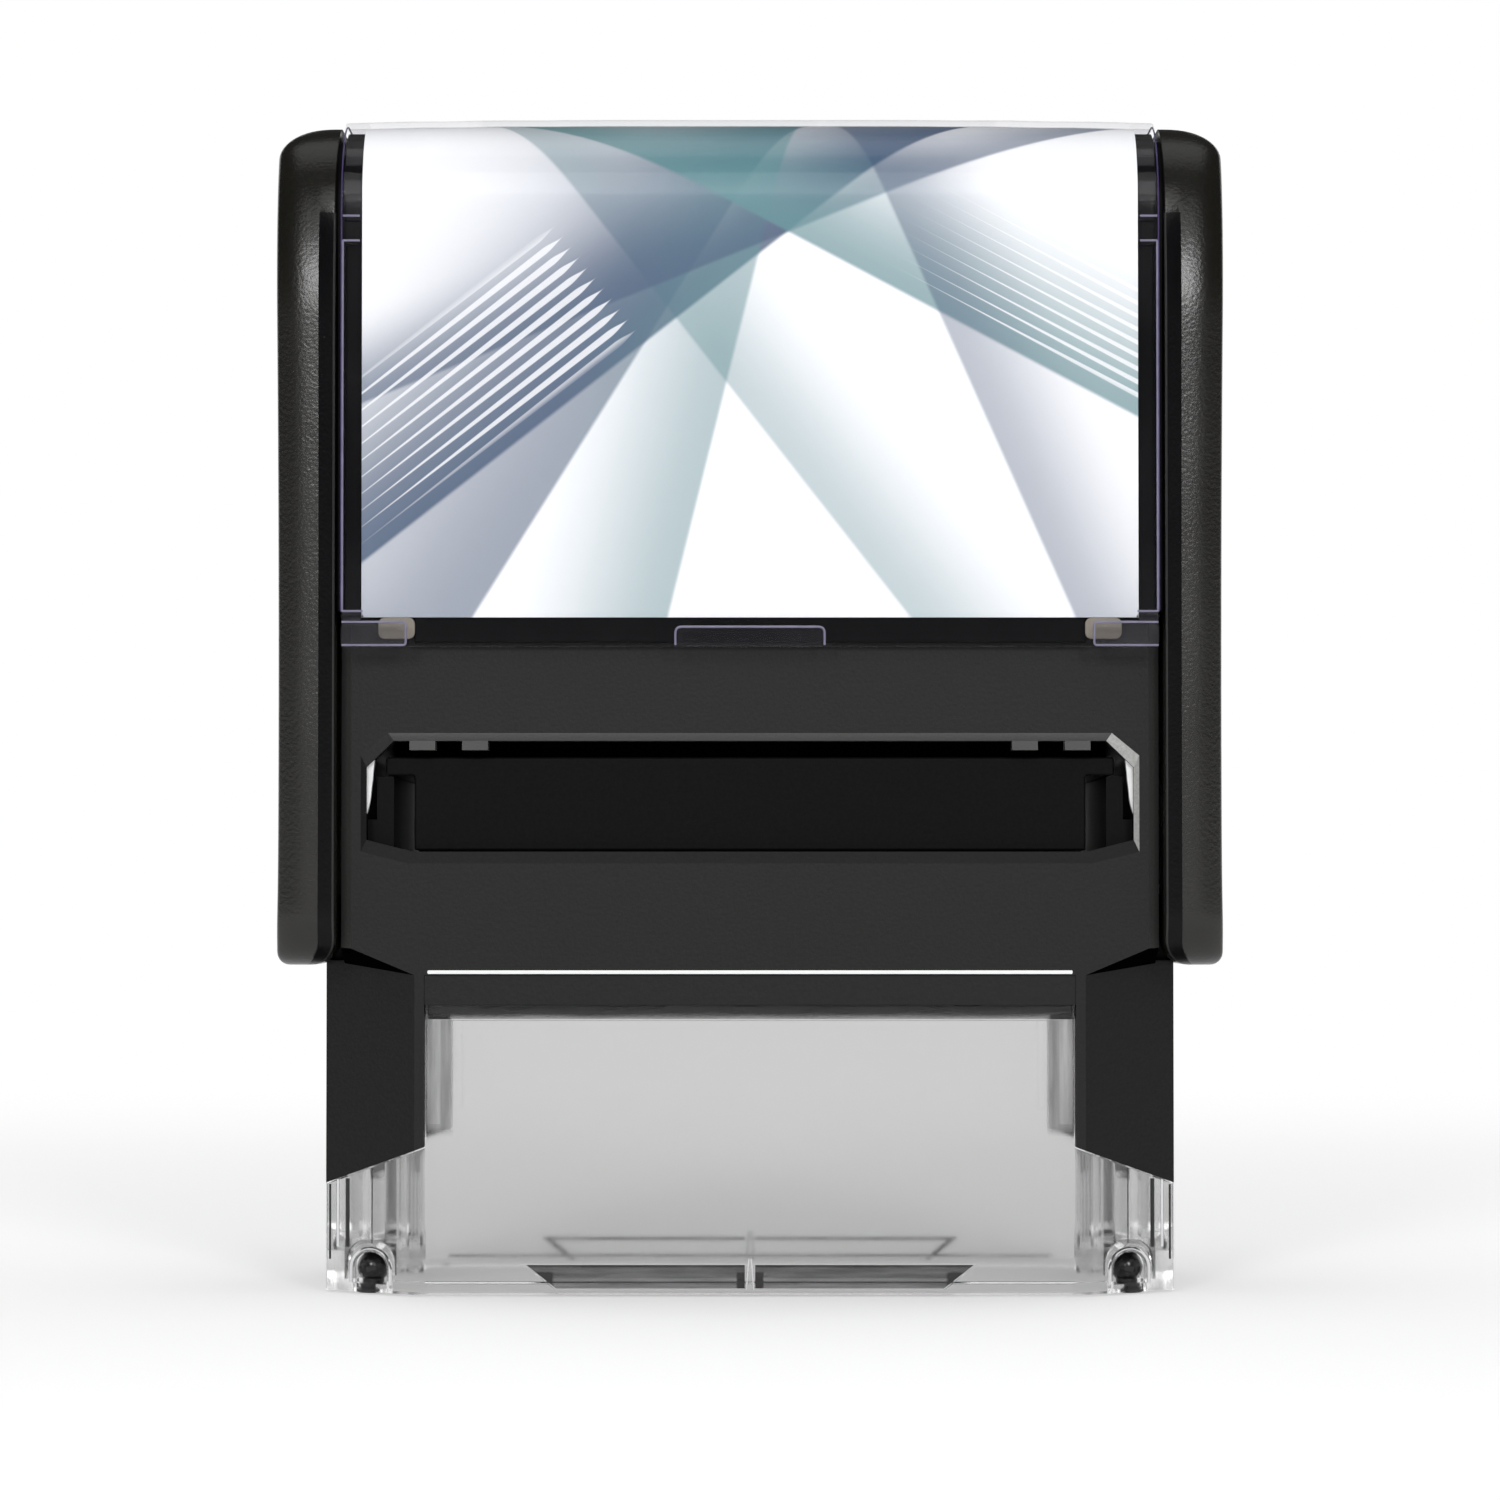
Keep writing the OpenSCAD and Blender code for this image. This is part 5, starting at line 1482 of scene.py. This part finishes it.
class STAMP_OT_window(StampOperator):
    """Make the clear cover, the printed card and its tabs"""

    bl_idname = "stamp.window"
    bl_label = "Cover and card"

    def execute(self, context):
        sizes, colours = context.scene.stamp_sizes, context.scene.stamp_colours
        low, high = corners("index_window")
        half, top = high[1] - PROUD, high[2]
        reach = corners("right_grip")[0][0]
        grids = []
        for inset, down in ((0.0, 0.0), (SIDE_WALL, TOP_WALL)):
            profile = cap_profile(half - inset, top - down, ROLL_RADIUS - (inset + down) / 2, low[2])
            grids.append(crowned_sheet(high[0], profile, sizes.crown, reach, top - down))
        clear = sheet_finish("clear_cover_plastic", colours.cover, COVER_HAZE)
        mesh = mesh_of("clear_cover", *thick_sheet(*grids))
        piece = add_piece("clear_cover", mesh, clear, "window", "window_plastic", "index_window")
        soften(piece, sizes.clear_edge)
        grids = []
        for front in (-1, 1):
            y = np.sort([front * (half + HAIR), front * (half + PROUD)])
            for side in (-1, 1):
                for width, z0, z1 in HOOK_STEPS:
                    x = np.sort([side * (high[0] - width), side * high[0]])
                    near, far = [x[0], y[0], low[2] + z0], [x[1], y[1], low[2] + z1]
                    grids.append(rounded_block(near, far, "y", *PAD_ROUND))
            near, far = [-LIP_HALF, y[0], low[2]], [LIP_HALF, y[1], low[2] + LIP_HEIGHT]
            grids.append(rounded_block(near, far, "y", *PAD_ROUND))
        hazy = smoky_and_shade_finish("hazy_pad", colours.pad, pad_cover, BROAD_STREAKS)
        add_solids("cover_pads", grids, hazy, "window", "window_plastic")
        self.add_beads(sizes, colours, low, high)
        self.add_rims(sizes, colours, low, high)
        self.add_card(sizes, colours, reach)
        return {"FINISHED"}

    def add_rims(self, sizes, colours, low, high):
        """The cover's tinted ends: a ridge along its profile at each end."""
        profile = cap_profile(high[1] - PROUD, high[2] - sizes.crown, ROLL_RADIUS, low[2] + PAD_HEIGHT)
        paths = carried(profile, "x", (-high[0], high[0]))
        grids = [bead_rows(path, END_SHARE * sizes.bead, (1, 0, 0)) for path in paths]
        add_solids("cover_rims", grids, edge_and_painted_light_finish("violet_rim", colours.rim), "window", "window_plastic")

    def add_beads(self, sizes, colours, low, high):
        """Fine ridges on the cover: round its hooks and its lip, across its margins and up its ends."""
        foot, ledge, pad_top = low[2] + BEAD_FOOT, low[2] + LEDGE_RISE, low[2] + PAD_HEIGHT - BEAD_TOP
        side, pad_in, upper_in = high[0] - BEAD_SIDE, high[0] - HOOK_BEADS[0], high[0] - HOOK_BEADS[1]
        lip_half, lip_top = LIP_BEADS[0], low[2] + LIP_BEADS[1]
        lip = [(-lip_half, foot), (-lip_half, lip_top), (lip_half, lip_top), (lip_half, foot)]
        pad = [(side, ledge), (pad_in, ledge), (pad_in, foot), (side, foot)]
        grids = []
        for front in (-1, 1):
            y, wall = front * high[1], front * high[1] - front * PROUD
            grids.append(bead_rows(bent_path(lip, LIP_TURN, y), sizes.bead))
            paths = [bent_path(pad, HOOK_TURN, y), bent_path([(side, pad_top), (upper_in, pad_top)], 0, y)]
            paths += [bent_path([(side, z), (MARGIN_IN, z)], 0, wall) for z in MARGIN_LINES]
            paths.append(bent_path([(side, pad_top), (side, MARGIN_LINES[1])], 0, wall))
            for sign in (-1, 1):
                grids += [bead_rows(mirrored(path, sign), sizes.bead) for path in paths]
        add_solids("cover_ridges", grids, edge_and_painted_light_finish("lilac_edge", colours.edge), "window", "window_plastic")

    def add_card(self, sizes, colours, reach):
        """The card as a thin sheet under the cover, and its paper tabs.

        Its print goes by the share of its width and the distance along its profile from the nearer foot.
        """
        low, high = corners("index_card")
        foot = low[2] + CARD_RISE
        top = corners("index_window")[1][2] - TOP_WALL - TOP_ROOM
        grids = []
        for inset in (0.0, CARD_THICK):
            profile = cap_profile(high[1] - inset, top - inset, CARD_ROLL - inset, foot)
            grids.append(crowned_sheet(high[0], profile, sizes.crown, reach, top - inset))
        mesh = mesh_of("printed_card", *thick_sheet(*grids))
        along = profile_lengths(cap_profile(high[1], top, CARD_ROLL, foot))
        climb = np.minimum(along, along[-1] - along)
        u = np.repeat(np.linspace(-0.5, 0.5, grids[0].shape[0]), len(climb))
        v = np.tile(climb / (2 * high[0]), grids[0].shape[0])
        place = np.tile(np.stack([u, v], -1), (2, 1))
        corner_points = np.empty(len(mesh.loops), np.int32)
        mesh.loops.foreach_get("vertex_index", corner_points)
        layer = mesh.uv_layers.new(name="print")
        layer.data.foreach_set("uv", place[corner_points].ravel())
        paper = card_finish("card_print", colours)
        add_piece("printed_card", mesh, paper, "window", "printed_card", "index_card")
        grids = []
        for front in (-1, 1):
            y = np.sort([front * high[1], front * (high[1] - CARD_THICK)])
            for side in (-1, 1):
                x = np.sort([side * edge for edge in TAB_SPAN])
                near, far = [x[0], y[0], low[2]], [x[1], y[1], foot - HAIR]
                grids.append(rounded_block(near, far, "y", *TAB_ROUND))
        add_solids("card_tabs", grids, printed_finish("tab_paper", colours.tab), "window", "printed_card")


# The text plate: thickness of its back, number of its bars, the gaps between them and the rim beside them
PLATE_BACK, BAR_ROWS, BAR_GAP, BAR_RIM = 0.5 * MM, 4, 1.5 * MM, 1.5 * MM
# How round the cushion, the ink pad, the plate's back and its bars are in outline and along their edges, and
# how far the foams are crowned
CUSHION_ROUND, INK_ROUND = (0.6 * MM, 0.25 * MM, 0.04 * MM), (0.8 * MM, 0.5 * MM, 0.15 * MM)
PLATE_ROUND, BAR_ROUND = (0.5 * MM, 0.08 * MM), (0.3 * MM, 0.06 * MM)


class STAMP_OT_die(StampOperator):
    """Make the turning die with its cushion and text plate"""

    bl_idname = "stamp.die"
    bl_label = "Die"

    def execute(self, context):
        sizes, colours = context.scene.stamp_sizes, context.scene.stamp_colours
        black = moulded_finish("black_holder", colours.part)
        soften(add_copy("turning_holder", "die_holder", black, "die", "black_part"), sizes.shell_edge)
        foam = pebbled_finish("cushion_foam", colours.foam)
        grid = rounded_block(*corners("die_cushion"), "z", *CUSHION_ROUND)
        piece = add_solids("plate_cushion", [grid], foam, "die", "cushion_foam", "die_cushion")
        low, high = corners("text_plate")
        back = low[2] + PLATE_BACK
        grids = [rounded_block(low, [high[0], high[1], back], "z", *PLATE_ROUND)]
        pitch = (high[1] - low[1]) / BAR_ROWS
        for row in range(BAR_ROWS):
            y = low[1] + (row + 0.5) * pitch
            near = [low[0] + BAR_RIM, y - (pitch - BAR_GAP) / 2, back + HAIR]
            far = [high[0] - BAR_RIM, y + (pitch - BAR_GAP) / 2, high[2]]
            grids.append(rounded_block(near, far, "z", *BAR_ROUND))
        rubber = pebbled_finish("plate_rubber", colours.rubber)
        add_solids("print_plate", grids, rubber, "die", "plate_rubber", "text_plate")
        return {"FINISHED"}


class STAMP_OT_cartridge(StampOperator):
    """Make the ink cartridge with its pad"""

    bl_idname = "stamp.cartridge"
    bl_label = "Ink cartridge"

    def execute(self, context):
        colours = context.scene.stamp_colours
        black = moulded_finish("black_tray", colours.part)
        soften(add_copy("ink_tray", "pad_tray", black, "cartridge", "black_part"), *TRAY_EDGE)
        foam = pebbled_finish("ink_foam", colours.ink)
        grid = rounded_block(*corners("ink_pad"), "z", *INK_ROUND)
        piece = add_solids("ink_cushion", [grid], foam, "cartridge", "ink_foam", "ink_pad")
        return {"FINISHED"}


# Lamps: name, place, size and level of light on a surface at the stamp that faces the lamp
LAMPS = (
    ("left_front_box", (-0.25, -0.97, 0.38), (0.16, 0.24), 0.24),
    ("right_front_box", (0.25, -0.97, 0.38), (0.16, 0.24), 0.24),
    ("high_front_box", (0.0, -0.85, 0.62), (0.8, 0.5), 0.16),
    ("top_box", (0.0, -0.05, 0.95), (0.8, 0.5), 0.13),
    ("left_rear_box", (-0.6, 0.8, 0.35), (0.9, 0.6), 0.20),
    ("right_rear_box", (0.6, 0.8, 0.35), (0.9, 0.6), 0.20),
)
# Point that the lamps face, width of the camera's sensor in mm, and the nearest distance it shows
AIM, SENSOR, NEAREST = (0.0, 0.0, 0.045), 36.0, 0.01
# The floor: half its side, its own light where it is seen, and the size and shade of its specks
FLOOR_HALF, FLOOR_LIFT, SPECK_SIZE, SPECK_SHADE = 3.0, 0.25, 0.02, 0.99
# Between these distances from the stamp the floor fades into the white backdrop
FADE_START, FADE_END = 0.12, 0.45
# Sine of the heights between which the backdrop gives way to the ceiling
BACKDROP_EDGE = (0.0, 0.06)


class STAMP_OT_stage(StampOperator):
    """Make the floor, the lamps, the world and the camera"""

    bl_idname = "stamp.stage"
    bl_label = "Studio stage"

    def execute(self, context):
        scene = context.scene
        stage = scene.stamp_stage
        scene.view_settings.view_transform = "Standard"
        self.add_floor(scene.stamp_colours)
        self.add_world(stage)
        for lamp in LAMPS:
            self.add_lamp(*lamp)
        lens = bpy.data.cameras.new("photo_camera")
        lens.sensor_width = SENSOR
        lens.lens = stage.focal
        lens.clip_start = NEAREST
        camera = bpy.data.objects.new("photo_camera", lens)
        scene.collection.objects.link(camera)
        camera.location = (0, -stage.camera_distance, stage.camera_height)
        camera.rotation_euler = (np.pi / 2 + stage.camera_tilt, 0, 0)
        scene.camera = camera
        return {"FINISHED"}

    def seen(self, finish):
        """1 for rays from the camera, from gloss and through clear plastic, and 0 for soft light."""
        path = finish.node("LightPath")
        names = ("Is Camera Ray", "Is Glossy Ray", "Is Transmission Ray")
        total = sum(finish.wire(path, name) for name in names)
        return finish.sum("MINIMUM", total, 1.0)

    def add_floor(self, colours):
        """A pale floor that is lifted to white where it is seen and keeps the stamp's shadow."""
        finish = new_finish("studio_floor")
        speck = finish.noise(finish.place(), SPECK_SIZE)
        paint = finish.blend(speck, tinted(colours.floor, SPECK_SHADE), colours.floor)
        matt = finish.node("BsdfDiffuse", None, {"Color": paint})
        glow = finish.node("Emission", None, {"Color": (1, 1, 1, 1), "Strength": FLOOR_LIFT})
        bright = finish.node("AddShader", None, {0: finish.wire(matt), 1: finish.wire(glow)})
        away = finish.node("VectorMath", {"operation": "LENGTH"}, {0: finish.place()})
        far = finish.ramp(finish.wire(away, "Value"), FADE_START, FADE_END)
        white = finish.node("Emission", None, {"Color": (1, 1, 1, 1), "Strength": 1.0})
        shown = finish.mix(far, bright, white)
        material = finish.show(finish.mix(self.seen(finish), matt, shown))
        signs = np.array([[-1, -1, 0], [1, -1, 0], [1, 1, 0], [-1, 1, 0]])
        mesh = bpy.data.meshes.new("studio_floor")
        mesh.from_pydata(signs * FLOOR_HALF, [], [[0, 1, 2, 3]])
        mesh.materials.append(material)
        floor = bpy.data.objects.new("studio_floor", mesh)
        bpy.context.scene.collection.objects.link(floor)

    def add_world(self, stage):
        """Even soft light, and a white backdrop where it is seen, with a dim ceiling over it in the gloss."""
        world = bpy.data.worlds.new("studio_world")
        finish = Finish(world)
        levels = (stage.sky, 1.0, stage.ceiling)
        settings = [{"Color": (1, 1, 1, 1), "Strength": level} for level in levels]
        soft, white, room = (finish.node("Background", None, item) for item in settings)
        way = finish.node("SeparateXYZ", None, {0: finish.wire(finish.node("TexCoord"), "Generated")})
        above = finish.ramp(finish.wire(way, 2), *BACKDROP_EDGE)
        path = finish.node("LightPath")
        gloss = finish.wire(path, "Is Glossy Ray") * (1 - finish.wire(path, "Is Transmission Ray"))
        backdrop = finish.mix(gloss * above, white, room)
        finish.show(finish.mix(self.seen(finish), soft, backdrop))
        bpy.context.scene.world = world

    def add_lamp(self, name, place, size, level):
        """An area lamp aimed at the stamp. Its power for a level is level * pi^2 * distance^2."""
        light = bpy.data.lights.new(name, "AREA")
        light.shape = "RECTANGLE"
        light.size, light.size_y = size
        away = np.array(place) - np.array(AIM)
        light.energy = level * np.pi**2 * float(away @ away)
        lamp = bpy.data.objects.new(name, light)
        lamp.location = place
        lamp.rotation_mode = "QUATERNION"
        lamp.rotation_quaternion = Vector(away).to_track_quat("Z", "Y")
        bpy.context.scene.collection.objects.link(lamp)


OPERATORS = (
    STAMP_OT_housing,
    STAMP_OT_base,
    STAMP_OT_springs,
    STAMP_OT_cap,
    STAMP_OT_locks,
    STAMP_OT_window,
    STAMP_OT_die,
    STAMP_OT_cartridge,
    STAMP_OT_stage,
)


class STAMP_PT_panel(bpy.types.Panel):
    """Lists the stamp's sizes, colours and operators."""

    bl_idname = "STAMP_PT_panel"
    bl_label = "Self inking stamp"
    bl_space_type = "VIEW_3D"
    bl_region_type = "UI"
    bl_category = "Stamp"

    def draw(self, context):
        scene = context.scene
        for group in (scene.stamp_sizes, scene.stamp_colours, scene.stamp_stage):
            box = self.layout.box()
            for name in group.__annotations__:
                box.prop(group, name)
        for operator in OPERATORS:
            self.layout.operator(operator.bl_idname)


CLASSES = (StampSizes, StampColours, StampStage, *OPERATORS, STAMP_PT_panel)


def register():
    for item in CLASSES:
        bpy.utils.register_class(item)
    bpy.types.Scene.stamp_sizes = bpy.props.PointerProperty(type=StampSizes)
    bpy.types.Scene.stamp_colours = bpy.props.PointerProperty(type=StampColours)
    bpy.types.Scene.stamp_stage = bpy.props.PointerProperty(type=StampStage)


def unregister():
    for name in ("stamp_sizes", "stamp_colours", "stamp_stage"):
        delattr(bpy.types.Scene, name)
    for item in reversed(CLASSES):
        bpy.utils.unregister_class(item)


def main():
    register()
    bpy.ops.stamp.housing()
    bpy.ops.stamp.base()
    bpy.ops.stamp.springs()
    bpy.ops.stamp.cap()
    bpy.ops.stamp.locks()
    bpy.ops.stamp.window()
    bpy.ops.stamp.die()
    bpy.ops.stamp.cartridge()
    bpy.ops.stamp.stage()


if __name__ == "__main__":
    main()
